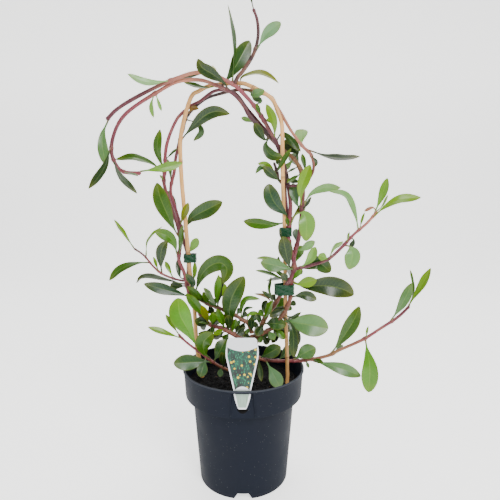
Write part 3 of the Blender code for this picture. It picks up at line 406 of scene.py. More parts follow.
class Graph:
    """A material's nodes, laid out by small calls."""

    def __init__(self, name: str) -> None:
        """Starts a material with one principled shader.

        Args:
            name: Name of the material.
        """
        self.material = bpy.data.materials.new(name)
        self.material.use_nodes = True
        self.tree = self.material.node_tree
        self.shader = self.tree.nodes["Principled BSDF"]

    def put(self, socket: Socket, value: object) -> None:
        """Links a socket to an input, or sets a plain value or a written colour on it.

        Args:
            socket: The input.
            value: What it takes.
        """
        if isinstance(value, bpy.types.NodeSocket):
            self.tree.links.new(value, socket)
        else:
            socket.default_value = linear(value) if isinstance(value, str) else value

    def node(self, kind: str, settings: dict | None = None, **inputs: object) -> bpy.types.Node:
        """Adds a node.

        Args:
            kind: Blender's name for it, after ShaderNode.
            settings: Its own settings, by name.
            **inputs: Values or links for its inputs, by name with _ for a blank.

        Returns:
            The node.
        """
        node = self.tree.nodes.new(f"ShaderNode{kind}")
        for key, value in (settings or {}).items():
            setattr(node, key, value)
        for key, value in inputs.items():
            self.put(node.inputs[key.replace("_", " ")], value)
        return node

    def math(self, operation: str, first: object, second: object = 0.0) -> Socket:
        """One arithmetic step on numbers.

        Args:
            operation: Blender's name of it.
            first: First number.
            second: Second number.

        Returns:
            The result.
        """
        node = self.node("Math", {"operation": operation})
        self.put(node.inputs[0], first)
        self.put(node.inputs[1], second)
        return node.outputs[0]

    def plus(self, first: object, second: object) -> Socket:
        """Sum of two numbers."""
        return self.math("ADD", first, second)

    def minus(self, first: object, second: object) -> Socket:
        """Difference of two numbers."""
        return self.math("SUBTRACT", first, second)

    def times(self, first: object, second: object) -> Socket:
        """Product of two numbers."""
        return self.math("MULTIPLY", first, second)

    def off(self, value: object, middle: float) -> Socket:
        """Distance of a number from a middle one."""
        return self.math("ABSOLUTE", self.minus(value, middle))

    def ramp(self, value: Socket, low: float, high: float, to: tuple = (0.0, 1.0)) -> Socket:
        """Clamped smooth change from to[0] at low to to[1] at high.

        Args:
            value: What drives the change.
            low: Where it starts.
            high: Where it ends.
            to: The result at either end.

        Returns:
            The result.
        """
        node = self.node(
            "MapRange", {"interpolation_type": "SMOOTHSTEP"}, Value=value,
            From_Min=low, From_Max=high, To_Min=to[0], To_Max=to[1])
        return node.outputs[0]

    def mix(self, share: object, first: object, second: object, how: str = "MIX") -> Socket:
        """Mixes two colours by a share.

        Args:
            share: Share of the second colour.
            first: First colour.
            second: Second colour.
            how: Blender's name for the way of mixing.

        Returns:
            The mixed colour.
        """
        node = self.node("Mix", {"data_type": "RGBA", "blend_type": how})
        self.put(node.inputs[0], share)
        self.put(node.inputs[6], first)
        self.put(node.inputs[7], second)
        return node.outputs[2]

    def over(self, colour: object, other: object, value: Socket, low: float, high: float,
             to: tuple = (0.0, 1.0)) -> Socket:
        """Lays another colour over one, by the share ramp(value, low, high, to)."""
        return self.mix(self.ramp(value, low, high, to), colour, other)

    def noise(self, where: Socket, scale: float, detail: float = 3.0) -> Socket:
        """Soft random value between 0 and 1."""
        return self.node("TexNoise", Vector=where, Scale=scale, Detail=detail).outputs[0]

    def cells(self, where: Socket, scale: float) -> bpy.types.Node:
        """Scattered cells; outputs are distance, colour and place."""
        return self.node("TexVoronoi", Vector=where, Scale=scale)

    def stretch(self, where: Socket, scale: tuple, turn: float = 0.0) -> Socket:
        """Stretches places, and turns them about Z, before a pattern reads them."""
        node = self.node("Mapping", Vector=where, Scale=scale, Rotation=(0.0, 0.0, turn))
        return node.outputs[0]

    def places(self) -> Socket:
        """The point's own place in metres."""
        return self.node("TexCoord").outputs["Object"]

    def surface(self) -> Socket:
        """The point's place along and across the surface."""
        return self.node("UVMap", {"uv_map": "UVMap"}).outputs[0]

    def tint(self) -> tuple[Socket, Socket]:
        """The colour written on the mesh, and its fourth value."""
        outputs = self.node("Attribute", {"attribute_name": "tint"}).outputs
        return outputs["Color"], outputs["Alpha"]

    def split(self, vector: Socket) -> tuple[Socket, Socket, Socket]:
        """A vector's three numbers."""
        outputs = self.node("SeparateXYZ", Vector=vector).outputs
        return outputs[0], outputs[1], outputs[2]

    def bump(self, height: Socket, depth: float, strength: float) -> Socket:
        """Surface relief of a depth in millimetres."""
        node = self.node("Bump", Height=height, Distance=depth * MM, Strength=strength)
        return node.outputs[0]

    def finish(self, **inputs: object) -> bpy.types.Material:
        """Sets the shader's inputs, by name with _ for a blank, and gives the material."""
        for key, value in inputs.items():
            self.put(self.shader.inputs[key.replace("_", " ")], value)
        return self.material


@dataclass(frozen=True)
class LeafFinish:
    """Glossy leaf with a pale midrib and side veins.

    Args:
        gloss: Roughness of the upper side.
        dull: Roughness of the underside.
        mottle: How much rougher the surface is in blotches.
        vein: Half width of a side vein, as a share of the distance between two.
        slope: How far side veins run forward on their way to the edge, in vein distances.
        wobble: How far side veins sway, in vein distances.
        shade: What the blotches' colour is multiplied by.
        speckle: Colour of the fine grain.
        pale: Colour of the veins.
    """

    gloss: float = 0.24
    dull: float = 0.62
    mottle: float = 0.12
    vein: float = 0.16
    slope: float = 1.5
    wobble: float = 0.5
    shade: tuple[float, ...] = (0.62, 0.7, 0.55, 1.0)
    speckle: str = "#a9b862"
    pale: str = "#c2d08e"

    def material(self) -> bpy.types.Material:
        """Colour from the mesh, veins from the surface's own coordinates."""
        graph = Graph("leaf_green")
        tint, upper = graph.tint()
        along, across, _ = graph.split(graph.surface())
        edge = graph.math("ABSOLUTE", across)
        sway = graph.times(graph.noise(graph.places(), 260.0, 2.0), self.wobble)
        shifted = graph.plus(graph.minus(along, graph.times(edge, self.slope)), sway)
        vein = graph.ramp(graph.math("PINGPONG", shifted, 0.5), 0.0, self.vein, (1.0, 0.0))
        vein = graph.times(vein, graph.ramp(edge, 1.0, 0.5))
        rib = graph.ramp(edge, 0.02, 0.1, (1.0, 0.0))
        blotch = graph.noise(graph.places(), 95.0, 4.0)
        grain = graph.noise(graph.places(), 900.0)
        shaded = graph.mix(1.0, tint, self.shade, "MULTIPLY")
        colour = graph.over(tint, shaded, blotch, 0.25, 0.75, (0.0, 0.4))
        colour = graph.over(colour, self.speckle, grain, 0.35, 0.8, (0.0, 0.1))
        colour = graph.mix(graph.times(vein, 0.035), colour, self.pale)
        colour = graph.mix(graph.times(rib, 0.11), colour, self.pale)
        height = graph.minus(graph.times(grain, 0.12), graph.plus(graph.times(vein, 0.3), rib))
        rough = graph.ramp(upper, 0.0, 1.0, (self.dull, self.gloss))
        return graph.finish(
            Base_Color=colour, Roughness=graph.plus(rough, graph.times(blotch, self.mottle)),
            Normal=graph.bump(height, 0.14, 0.6), Specular_IOR_Level=0.36)


@dataclass(frozen=True)
class StemFinish:
    """Smooth young bark with fine lengthwise streaks and small pale pores.

    Args:
        roughness: Roughness between the streaks.
        shade: What the streaks' colour is multiplied by.
        patch: Colour of the worn patches.
        pore: Colour of the pores.
    """

    roughness: float = 0.42
    shade: tuple[float, ...] = (0.45, 0.4, 0.42, 1.0)
    patch: str = "#b9917c"
    pore: str = "#d8bfae"

    def material(self) -> bpy.types.Material:
        """Colour from the mesh, streaks along the stem from its surface coordinates."""
        graph = Graph("stem_skin")
        tint, _ = graph.tint()
        surface = graph.surface()
        streak = graph.noise(graph.stretch(surface, (0.12, 9.0, 1.0)), 3.0, 4.0)
        pore = graph.cells(graph.stretch(surface, (0.45, 3.2, 1.0)), 1.0).outputs[0]
        patch = graph.noise(graph.places(), 60.0)
        shaded = graph.mix(1.0, tint, self.shade, "MULTIPLY")
        colour = graph.over(tint, shaded, streak, 0.3, 0.75, (0.0, 0.55))
        colour = graph.over(colour, self.patch, patch, 0.5, 0.8, (0.0, 0.35))
        colour = graph.over(colour, self.pore, pore, 0.08, 0.2, (0.5, 0.0))
        height = graph.plus(streak, graph.ramp(pore, 0.08, 0.25, (0.4, 0.0)))
        return graph.finish(
            Base_Color=colour, Roughness=graph.ramp(streak, 0.2, 0.8, (self.roughness, 0.6)),
            Normal=graph.bump(height, 0.18, 0.7))


@dataclass(frozen=True)
class CaneFinish:
    """Dried bamboo: long fibres, dark node rings and a light wax.

    Args:
        skin: Colour between the fibres.
        fibre: Colour of the fibres.
        stain: Colour of the long streaks.
        bleached: Colour of the sun-bleached patches.
        ring: Colour of the node rings.
    """

    skin: str = "#dcb98f"
    fibre: str = "#b98f66"
    stain: str = "#8f6d4f"
    bleached: str = "#ebcfa6"
    ring: str = "#5e3d27"

    def material(self) -> bpy.types.Material:
        """Fibres run along the surface; the mesh's fourth value marks the node rings."""
        graph = Graph("bamboo")
        tint, ring = graph.tint()
        surface = graph.surface()
        fibre = graph.noise(graph.stretch(surface, (0.03, 12.0, 1.0)), 3.0, 5.0)
        streak = graph.noise(graph.stretch(surface, (0.008, 2.0, 1.0)), 4.0)
        patch = graph.noise(graph.places(), 28.0, 4.0)
        colour = graph.over(self.skin, self.fibre, fibre, 0.35, 0.75, (0.0, 0.6))
        colour = graph.over(colour, self.stain, streak, 0.52, 0.75, (0.0, 0.55))
        colour = graph.over(colour, self.bleached, patch, 0.55, 0.85, (0.0, 0.4))
        colour = graph.mix(ring, graph.mix(1.0, colour, tint, "MULTIPLY"), self.ring)
        height = graph.minus(fibre, graph.times(ring, 2.0))
        return graph.finish(
            Base_Color=colour, Roughness=graph.ramp(patch, 0.2, 0.8, (0.38, 0.55)),
            Normal=graph.bump(height, 0.12, 0.8))


@dataclass(frozen=True)
class PotFinish:
    """Moulded dark plastic with dust, faint flecks and a lip lighter from wear and a painted
    highlight.

    Args:
        base: Colour of the plastic.
        cloud: Colour of the wide, faint clouds.
        dust: Colour of the rub marks that run round the pot.
        fleck: Colour of the flecks.
        worn: Colour of the lighter lip: rubbed wear and a painted highlight on the rim's edge.
        lip: Height of the lighter lip band, in metres.
    """

    base: str = "#2d323d"
    cloud: str = "#383d48"
    dust: str = "#3f444e"
    fleck: str = "#a3a29c"
    worn: str = "#777a80"
    lip: float = 0.1895

    def material(self) -> bpy.types.Material:
        """Pattern by place: clouds, rub marks, flecks and a lighter lip."""
        graph = Graph("pot_plastic")
        where = graph.places()
        _, _, up = graph.split(where)
        cloud = graph.noise(where, 14.0, 5.0)
        scuff = graph.noise(graph.stretch(where, (9.0, 9.0, 160.0)), 4.0, 4.0)
        fine = graph.noise(where, 1400.0, 2.0)
        flecks = graph.cells(where, 330.0).outputs
        fleck = graph.ramp(flecks[0], 0.06, 0.14, (1.0, 0.0))
        fleck = graph.times(fleck, graph.ramp(graph.split(flecks[1])[0], 0.72, 0.8))
        colour = graph.over(self.base, self.cloud, cloud, 0.35, 0.75, (0.0, 0.3))
        colour = graph.over(colour, self.dust, scuff, 0.6, 0.8, (0.0, 0.2))
        colour = graph.mix(graph.times(fleck, 0.55), colour, self.fleck)
        # The band round the lip is lighter: partly rubbed wear, partly a painted highlight on the
        # rim's edge.
        colour = graph.over(
            colour, self.worn, graph.off(up, self.lip), 0.0004, 0.0016, (0.35, 0.0))
        rough = graph.plus(graph.ramp(cloud, 0.3, 0.7, (0.5, 0.64)), graph.times(fine, 0.08))
        height = graph.plus(fine, graph.times(scuff, 0.6))
        return graph.finish(
            Base_Color=colour, Roughness=rough, Normal=graph.bump(height, 0.05, 0.6),
            Specular_IOR_Level=0.1)


@dataclass(frozen=True)
class MixFinish:
    """Damp bark and peat: near black with brown and straw bits.

    Args:
        damp: Colour of the wettest places.
        fibre: Colour of the fine fibres.
    """

    damp: str = "#080708"
    fibre: str = "#5f4f43"

    def material(self) -> bpy.types.Material:
        """Colour from the mesh, mottled by place."""
        graph = Graph("potting_mix")
        where = graph.places()
        tint, _ = graph.tint()
        coarse = graph.noise(where, 320.0, 4.0)
        fibre = graph.noise(graph.stretch(where, (1.0, 5.0, 2.0)), 420.0)
        colour = graph.over(tint, self.damp, coarse, 0.35, 0.7, (0.0, 0.75))
        colour = graph.over(colour, self.fibre, fibre, 0.64, 0.76, (0.0, 0.6))
        return graph.finish(
            Base_Color=colour, Roughness=graph.ramp(coarse, 0.2, 0.8, (0.95, 0.75)),
            Normal=graph.bump(graph.plus(coarse, fibre), 0.8, 0.8), Specular_IOR_Level=0.15)


@dataclass(frozen=True)
class TapeFinish:
    """Stretchy green garden tape with a soft shine and fine creases.

    Args:
        deep: Colour in the creases, where it is painted shade.
        bright: Colour between them.
        worn: Colour of the darker patches.
    """

    deep: str = "#034530"
    bright: str = "#085c3c"
    worn: str = "#033322"

    def material(self) -> bpy.types.Material:
        """Creases run round the band; the darker colour in them is painted shade."""
        graph = Graph("tie_tape")
        crease = graph.noise(graph.stretch(graph.surface(), (1.5, 14.0, 1.0)), 2.0, 4.0)
        patch = graph.noise(graph.places(), 240.0)
        # Painted shade: the creases, which the bump sinks, take the darker colour.
        colour = graph.over(self.deep, self.bright, crease, 0.35, 0.7)
        colour = graph.over(colour, self.worn, patch, 0.55, 0.8, (0.0, 0.25))
        return graph.finish(
            Base_Color=colour, Roughness=graph.ramp(patch, 0.3, 0.7, (0.2, 0.34)),
            Normal=graph.bump(crease, 0.3, 0.6), Specular_IOR_Level=0.3)


@dataclass(frozen=True)
class LabelFinish:
    """Coated white card with a printed field of plain round and oval shapes.

    Sizes are in millimetres.

    Args:
        border: White margin round the print.
        foot: Height of the print's lower edge.
        shoulder: Height where the card is narrowest.
        narrow: Half width of the card there.
        wide: Half width of the card where it is widest.
        widening: How much the half width grows with height.
        arc: Height of the print's upper edge in the middle.
        sag: How fast the upper edge rises to the sides, by the square of the distance.
        hump: Height of the low rise in the middle of the print's lower edge.
        tongue_foot: Height where the tongue leaves the pot's pocket.
    """

    border: float = 2.3
    foot: float = 191.5
    shoulder: float = 191.0
    narrow: float = 13.0
    wide: float = 23.8
    widening: float = 0.2102
    arc: float = 250.0
    sag: float = 0.0135
    hump: float = 5.0
    tongue_foot: float = 164.0

    def within(self, graph: Graph, room: Socket) -> Socket:
        """Share that is 1 where there is room to an edge, softened over 0.3 mm."""
        return graph.ramp(room, -0.15, 0.15)

    def print_colour(self, graph: Graph, flat: Socket) -> Socket:
        """Green ground with slanting ovals and scattered yellow discs.

        Args:
            graph: The label's material.
            flat: Place on the label.

        Returns:
            The colour of the print.
        """
        printed = graph.over("#02241f", "#0b5c4c", graph.noise(flat, 0.09), 0.35, 0.65)
        ovals = graph.cells(graph.stretch(flat, (0.9, 0.34, 1.0), 0.6), 0.6).outputs[0]
        printed = graph.mix(
            graph.times(graph.ramp(ovals, 0.26, 0.36, (1.0, 0.0)), 0.8), printed, "#35a07c")
        discs = graph.cells(flat, 0.135).outputs[0]
        printed = graph.over(printed, "#e2c800", discs, 0.23, 0.26, (1.0, 0.0))
        printed = graph.over(printed, "#a87c00", discs, 0.06, 0.08, (1.0, 0.0))
        return graph.over(printed, "#d6cf10", graph.off(discs, 0.15), 0.01, 0.025, (0.5, 0.0))

    def material(self) -> bpy.types.Material:
        """All shapes are worked out from the place on the card."""
        graph = Graph("label_card")
        where = graph.node("VectorMath", {"operation": "SCALE"}, Vector=graph.places(),
                           Scale=1 / MM)
        across, _, up = graph.split(where.outputs[0])
        side = graph.off(across, -0.5)
        square = graph.times(side, side)
        grown = graph.times(graph.minus(up, self.shoulder), self.widening)
        half = graph.math("MINIMUM", graph.plus(grown, self.narrow - self.border),
                          self.wide - self.border)
        top = graph.plus(graph.times(square, self.sag), self.arc)
        rise = graph.minus(self.foot + self.hump, graph.times(square, 0.05))
        bottom = graph.math("MAXIMUM", rise, self.foot)
        field_share = graph.times(
            graph.times(self.within(graph, graph.minus(half, side)),
                        self.within(graph, graph.minus(top, up))),
            self.within(graph, graph.minus(up, bottom)))
        flat = graph.node("CombineXYZ", X=across, Y=up).outputs[0]
        streak = graph.noise(graph.stretch(flat, (2.2, 0.06, 1.0)), 1.0)
        tongue = graph.over("#b9c9c0", "#93a595", streak, 0.35, 0.7)
        rim = self.within(graph, graph.minus(graph.plus(half, 0.7), side))
        low = graph.times(graph.ramp(up, self.tongue_foot - 0.4, self.tongue_foot),
                          graph.ramp(up, self.shoulder + 3, self.shoulder - 4))
        card = graph.mix(graph.times(rim, low), "#eceef0", tongue)
        grain = graph.noise(flat, 3.0, 2.0)
        return graph.finish(
            Base_Color=graph.mix(field_share, card, self.print_colour(graph, flat)),
            Roughness=graph.ramp(grain, 0.2, 0.8, (0.28, 0.4)),
            Normal=graph.bump(grain, 0.02, 0.5))


class Finishes:
    """Every finish of the object, made once."""

    def __init__(self) -> None:
        """Builds the materials."""
        self.leaf = LeafFinish().material()
        self.stem = StemFinish().material()
        self.cane = CaneFinish().material()
        self.pot = PotFinish().material()
        self.mix = MixFinish().material()
        self.tape = TapeFinish().material()
        self.label = LabelFinish().material()


@dataclass(frozen=True)
class Stem:
    """One stem, root or branching point first.

    Args:
        start: Radius at the first point.
        end: Radius at the last point.
        points: Rows (x, z, forward).
        bark: Colours from foot to tip, evenly spaced.
        spacing: Distance between the rings of its mesh.
        around: Points round each ring.
        swelling: How much thicker the stem is where a leaf grows from it.
        fullness: How much thicker the bark is than the CAD's plain tube.
        wave: How much the radius comes and goes along the stem.
        facets: How far the profile is from round.
        scar: How much the rings below the leaves darken.
        smallest: Least share of the radius that is left at the tip.
    """

    start: float
    end: float
    points: list[tuple[float, ...]]
    bark: tuple[Bark, ...]
    spacing: float = 1.4
    around: int = 14
    swelling: float = 0.3
    fullness: float = 1.42
    wave: float = 0.035
    facets: float = 0.03
    scar: float = 0.7
    smallest: float = 0.12

    @classmethod
    def read(cls, text: str) -> "Stem":
        """Reads an entry of the table of stems.

        Args:
            text: Two radii, the colours of the bark and the points.

        Returns:
            The stem.
        """
        start, end, *words = text.split()
        bark = tuple(Bark[word.upper()] for word in words if "," not in word)
        route = read_points(" ".join(word for word in words if "," in word))
        return cls(float(start), float(end), route, bark)

    def line(self) -> Array:
        """The middle line in 1 mm steps."""
        return smooth_route(place(np.array(self.points)), 1.0)

    def foot(self, line: Array, x: float, z: float) -> tuple[Array, Array, float, float]:
        """Finds where a leaf seen at (x, z) grows from the stem.

        Args:
            line: The stem's middle line.
            x: Place across in the front view.
            z: Height in the front view.

        Returns:
            The point nearest to the line of sight, the stem's direction and radius there, and
            the share of the stem's length at which it lies.
        """
        sight = unit(place(np.array([(x, z, 0.0)]))[0] - EYE)
        off = np.linalg.norm(np.cross(line - EYE, sight), axis=1)
        best = int(off.argmin())
        ahead = line[min(best + 1, len(line) - 1)] - line[max(best - 1, 0)]
        share = best / (len(line) - 1)
        return line[best], unit(ahead), self.start + share * (self.end - self.start), share

    def shell(self, leaf_shares: list[float], seed: int) -> Shell:
        """Carries a round profile along the stem.

        Args:
            leaf_shares: Where leaves grow, as shares of the length.
            seed: Start of the random waviness.

        Returns:
            Rings of radius r(s) = fullness * taper(s) * (1 + swelling * the nearest leaf's bell +
            a slow wave), closed by a round tip.
        """
        random = np.random.default_rng(seed)
        route = smooth_route(place(np.array(self.points)), self.spacing)
        length = route_length(route)
        share = np.linspace(0.0, 1.0, len(route))
        radius = (self.start + share * (self.end - self.start)) * self.fullness
        reach = 1.5 + self.start * 0.5
        bells = np.zeros(len(route))
        scars = np.zeros(len(route))
        for spot in leaf_shares:
            away = (share - spot) * length
            bells = np.maximum(bells, np.exp(-(away / reach) ** 2))
            scars = np.maximum(scars, np.exp(-((away + 0.4 * reach) / 0.7) ** 2))
        wave = self.wave * np.sin(share * length / 9.0 + random.uniform(0, 6))
        radius = radius * (1.0 + self.swelling * bells + wave)
        to_tip = np.minimum((1.0 - share) * length / (2.2 * self.end), 1.0)
        tip = np.sqrt(np.clip(1.0 - (1.0 - to_tip) ** 2, 0.0, 1.0))
        radius = radius * np.maximum(tip, self.smallest)
        turns = 3 * circle(self.around)[None, :] + share[:, None] * length / 14.0
        rings, uv = carried(route, radius[:, None] * (1.0 + self.facets * np.cos(turns)))
        stops = np.array([linear(colour.value) for colour in self.bark])
        position = np.linspace(0.0, 1.0, len(stops))
        tint = np.stack([np.interp(share, position, stops[:, c]) for c in range(4)], axis=1)
        dark = np.array([0.55, 0.5, 0.5, 1.0])
        tint = tint * blend(np.ones(4), dark, (self.scar * scars)[:, None])
        tint = tint * (
            1.0 + 0.08 * np.sin(share * length / 23.0 + random.uniform(0, 6)))[:, None]
        return tube_shell(rings, np.broadcast_to(tint[:, None], (*rings.shape[:2], 4)), uv)


# Steps by which the CAD may have moved a leaf's tip clear of its neighbours, in their order
LEAN_STEPS = (0, 5, -5, 10, -10, 15, -15, 20, -20, 26, -26, 32, -32, 40, -40)
# How far a leaf may end from its CAD shape before a warning is logged
TIP_MISS = 0.6
# The CAD leaf's arch as a share of its length, its stalk's half width and its gap to the bark
LEAF_ARCH = 0.07
PETIOLE_HALF_WIDTH = 0.85
FOOT_GAP = 0.45
# Places of a leaf's points across it, from edge to edge
ACROSS = np.array([
    -1.0, -0.93, -0.78, -0.56, -0.32, -0.12, 0.0, 0.12, 0.32, 0.56, 0.78, 0.93, 1.0])


@dataclass(frozen=True)
class Leaf:
    """One leaf, from its foot on the stem to its tip.

    Args:
        grow: How it is held.
        width: Width seen from the front.
        lean: How far the tip stands forward of the foot, before it was moved clear of others.
        tone: Colour of the upper side.
        points: Foot, points between and tip as (x, z) or (x, z, forward).
        broad: How much broader the blade is than the CAD's.
        peak: Share of the blade's length at which it is widest.
        fold: Rise of the halves from the midrib to the edge, as a share of the half width.
        foot: Power of the outline below its widest place; larger narrows the blade's foot.
        bare: Share of the length that is a bare stalk, or 0 for the usual short one.
        slender: Least width as a share of the length; a narrower leaf is turned on edge.
        stout: Largest width as a share of the length.
        stalk: Half width of the stalk.
        thin: Half the blade's thickness at its middle.
        quilt: Height of the swellings between side veins.
        groove: Depth of the groove over the midrib.
        rib: Height of the midrib under the blade.
        vein_gap: Distance between side veins.
    """

    grow: Grow
    width: float
    lean: float
    tone: Tone
    points: list[tuple[float, ...]]
    broad: float = 1.3
    peak: float = 0.63
    fold: float = 0.24
    foot: float = 0.84
    bare: float = 0.0
    slender: float = 0.19
    stout: float = 0.55
    stalk: float = 1.3
    thin: float = 0.17
    quilt: float = 0.022
    groove: float = 0.16
    rib: float = 0.5
    vein_gap: float = 6.0

    @classmethod
    def read(cls, text: str) -> "Leaf":
        """Reads a row of the table of leaves.

        Args:
            text: The row, as the comment over the table says.

        Returns:
            The leaf.
        """
        words = text.split()
        grow = Grow(words.pop(0)) if words[0].isalpha() else Grow.JOINED
        width, lean, tone, *words = words
        route = read_points(" ".join(word for word in words if "=" not in word))
        own = dict(word.split("=") for word in words if "=" in word)
        return cls(grow, float(width), float(lean), Tone[tone.upper()], route,
                   **{name: float(value) for name, value in own.items()})

    def spots(self, stem: Stem, line: Array, step: float) -> Array:
        """World points that the leaf's middle line passes through, for one step of its lean.

        Args:
            stem: The stem that it grows from.
            line: The stem's middle line.
            step: How much further forward than its lean the tip stands.

        Returns:
            The points, from the foot on the bark to the tip.
        """
        foot, along, radius, _ = stem.foot(line, *self.points[0][:2])
        foot_forward = -foot[1]
        flat = np.array([point[:2] for point in self.points])
        steps = np.linalg.norm(np.diff(flat, axis=0), axis=1)
        reached = np.concatenate([[0.0], np.cumsum(steps)])
        lean = self.lean + step
        arch = LEAF_ARCH * reached[-1]
        rows = [
            (point[0], point[1], point[2] if len(point) == 3 else
             foot_forward + lean * share + arch * math.sin(math.pi * share))
            for point, share in zip(self.points[1:-1], reached[1:-1] / reached[-1])]
        if not rows:
            middle = flat.mean(0)
            rows = [(middle[0], middle[1], foot_forward + lean / 2 + arch)]
        rows.append((*self.points[-1][:2], foot_forward + lean))
        spots = np.vstack([foot, place(np.array(rows))])
        if self.grow is Grow.OWN:
            way = spots[1] - foot
            away = way - along * way.dot(along)
            away = unit(away) if np.linalg.norm(away) >= 0.5 else np.array([0.0, -1.0, 0.0])
            slant = unit(way).dot(away)
            reach = PETIOLE_HALF_WIDTH * math.sqrt(max(0.0, 1.0 - slant * slant))
            spots[0] = foot + away * (radius + reach + FOOT_GAP)
        return spots

    def settled(self, stem: Stem, line: Array, node_points: Array) -> Array:
        """Takes the step of the lean whose tip lies nearest to a point of the CAD node.

        Args:
            stem: The stem that it grows from.
            line: The stem's middle line.
            node_points: The CAD node's points.

        Returns:
            The points of the middle line for that step.
        """
        choices = [self.spots(stem, line, step) for step in LEAN_STEPS]
        misses = [np.linalg.norm(node_points - spots[-1], axis=1).min() for spots in choices]
        best = int(np.argmin(misses))
        if misses[best] > TIP_MISS:
            log.warning("leaf tip %s is %.1f mm off", self.points[-1], misses[best])
        return choices[best]

    def upper_side(self, route: Array, share: Array, roll: float, turn: float) -> Array:
        """Finds which way the upper side faces along the leaf.

        Args:
            route: The middle line.
            share: Share of the length of each of its points.
            roll: Angle by which the leaf is turned on edge, so that it looks narrower.
            turn: Further twist from foot to tip.

        Returns:
            Unit vectors across the middle line. They face the eye, turned by the roll to the
            side that lifts them more, and by the twist around the blade's middle.
        """
        along = unit(np.gradient(route, axis=0))
        to_eye = unit(EYE - route)
        facing = unit(to_eye - along * (to_eye * along).sum(1, keepdims=True))
        across = np.cross(along, facing)
        turns = [facing * math.cos(roll) + across * math.sin(roll * sign) for sign in (1, -1)]
        sign = 1 if turns[0][:, 2].mean() >= turns[1][:, 2].mean() else -1
        twist = sign * roll + turn * (share - 0.45)
        return facing * np.cos(twist)[:, None] + across * np.sin(twist)[:, None]

    def shell(self, spots: Array, seed: int) -> Shell:
        """Works out the blade, its ribs and its stalk.

        Args:
            spots: Points that the middle line passes through.
            seed: Start of the leaf's own small differences.

        Returns:
            Rings across the leaf. With q from -1 to 1 across and t along the blade, the half
            width is w * sin(pi * t ** a) ** b, where b is the foot power up to the widest place
            and then smaller for broad leaves, which end bluntly. The edges rise by fold * |q|
            and wave, the midrib is a groove above and a rib below, and the stalk is round.
        """
        random = np.random.default_rng(seed)
        straight = route_length(smooth_route(spots, 2.0))
        fine = smooth_route(spots, 0.5)
        share = np.linspace(0.0, 1.0, int(np.clip(straight / 1.5, 16, 60)))
        share = 0.5 * share + 0.25 * (1.0 - np.cos(np.pi * share))
        position = share * (len(fine) - 1)
        route = np.stack(
            [np.interp(position, np.arange(len(fine)), fine[:, c]) for c in range(3)], axis=1)
        seen = self.broad * self.width
        full = min(max(seen, self.slender * straight), self.stout * straight)
        facing = self.upper_side(
            route, share, math.acos(min(1.0, seen / full)), random.uniform(-0.3, 0.3))
        side = np.cross(unit(np.gradient(route, axis=0)), facing)

        petiole = self.bare or float(np.clip(4.5 / straight, 0.04, 0.1))
        blade = np.clip((share - petiole) / (1.0 - petiole), 0.0, 1.0)
        power = math.log(0.5) / math.log(self.peak)
        blunt = float(np.clip(1.02 - 1.25 * full / straight, 0.6, 0.85))
        outline = np.sin(np.pi * blade ** power) ** np.where(blade < self.peak, self.foot, blunt)
        stalk = self.stalk * (1.0 - 0.35 * share) * min(1.0, 0.5 + full / 30)
        half = np.maximum(full / 2 * outline, stalk * (1.0 - ease(0.5, 1.0, share)) + 0.06)
        half = half[:, None]
        is_stalk = 1.0 - ease(petiole * 0.8, petiole + 0.22, share)[:, None]

        along, q = share[:, None], ACROSS[None, :]
        x = q * half
        depth = self.fold * (1.0 + random.uniform(-0.25, 0.25))
        rise = depth * (np.sqrt(x ** 2 + 0.16) - 0.4)
        waves = random.uniform(1.6, 2.8)
        phase = np.where(q < 0, random.uniform(0, 6), random.uniform(0, 6))
        wave = random.uniform(0.03, 0.09) * half * np.abs(q) ** 3 * np.sin(
            math.tau * waves * along + phase)
        veins = max(5.0, straight / self.vein_gap)
        quilt = self.quilt * np.cos(math.tau * (along * veins - 1.5 * np.abs(q)))
        quilt = quilt * np.minimum(1.0, half / 6.0) * (1.0 - np.abs(q) ** 4)
        groove = self.groove * np.exp(-(x / 0.45) ** 2) * (1.0 - along)
        rib = self.rib * np.exp(-(x / 0.55) ** 2) * (1.0 - along) ** 0.7
        thin = self.thin * (1.0 - 0.45 * np.abs(q) ** 3) * np.ones_like(x)
        round_half = stalk[:, None] * np.sqrt(np.clip(1.0 - q ** 2, 0.0, 1.0)) * is_stalk * 0.9
        middle = (rise + wave + quilt) * (1.0 - is_stalk)
        above = middle + np.maximum(thin, round_half) - groove * (1.0 - is_stalk)
        below = middle - np.maximum(thin, round_half) - rib
        below[:, 0], below[:, -1] = above[:, 0], above[:, -1]
        upper, under = (route[:, None] + side[:, None] * x[..., None]
                        + facing[:, None] * height[..., None] for height in (above, below))
        uv = grid(along * veins, q)
        return tube_shell(
            np.concatenate([upper, under[:, -2:0:-1]], axis=1),
            self.tints(share, petiole, random), np.concatenate([uv, uv[:, -2:0:-1]], axis=1))

    def tints(self, share: Array, petiole: float, random: np.random.Generator) -> Array:
        """Colours the leaf.

        Args:
            share: Share of the length of each ring.
            petiole: Share of the length that is stalk.
            random: The leaf's own random numbers.

        Returns:
            Colours for each ring's upper points and then its lower ones. The fourth value is 1
            above and 0 below. The tip and edges are yellower, and the stalk is reddish.
        """
        q = ACROSS[None, :]
        ones = np.ones((len(share), 1))
        base = np.array(linear(self.tone.value)) * random.uniform(0.88, 1.12)
        upper = np.broadcast_to(base, (len(share), len(ACROSS), 4)).copy()
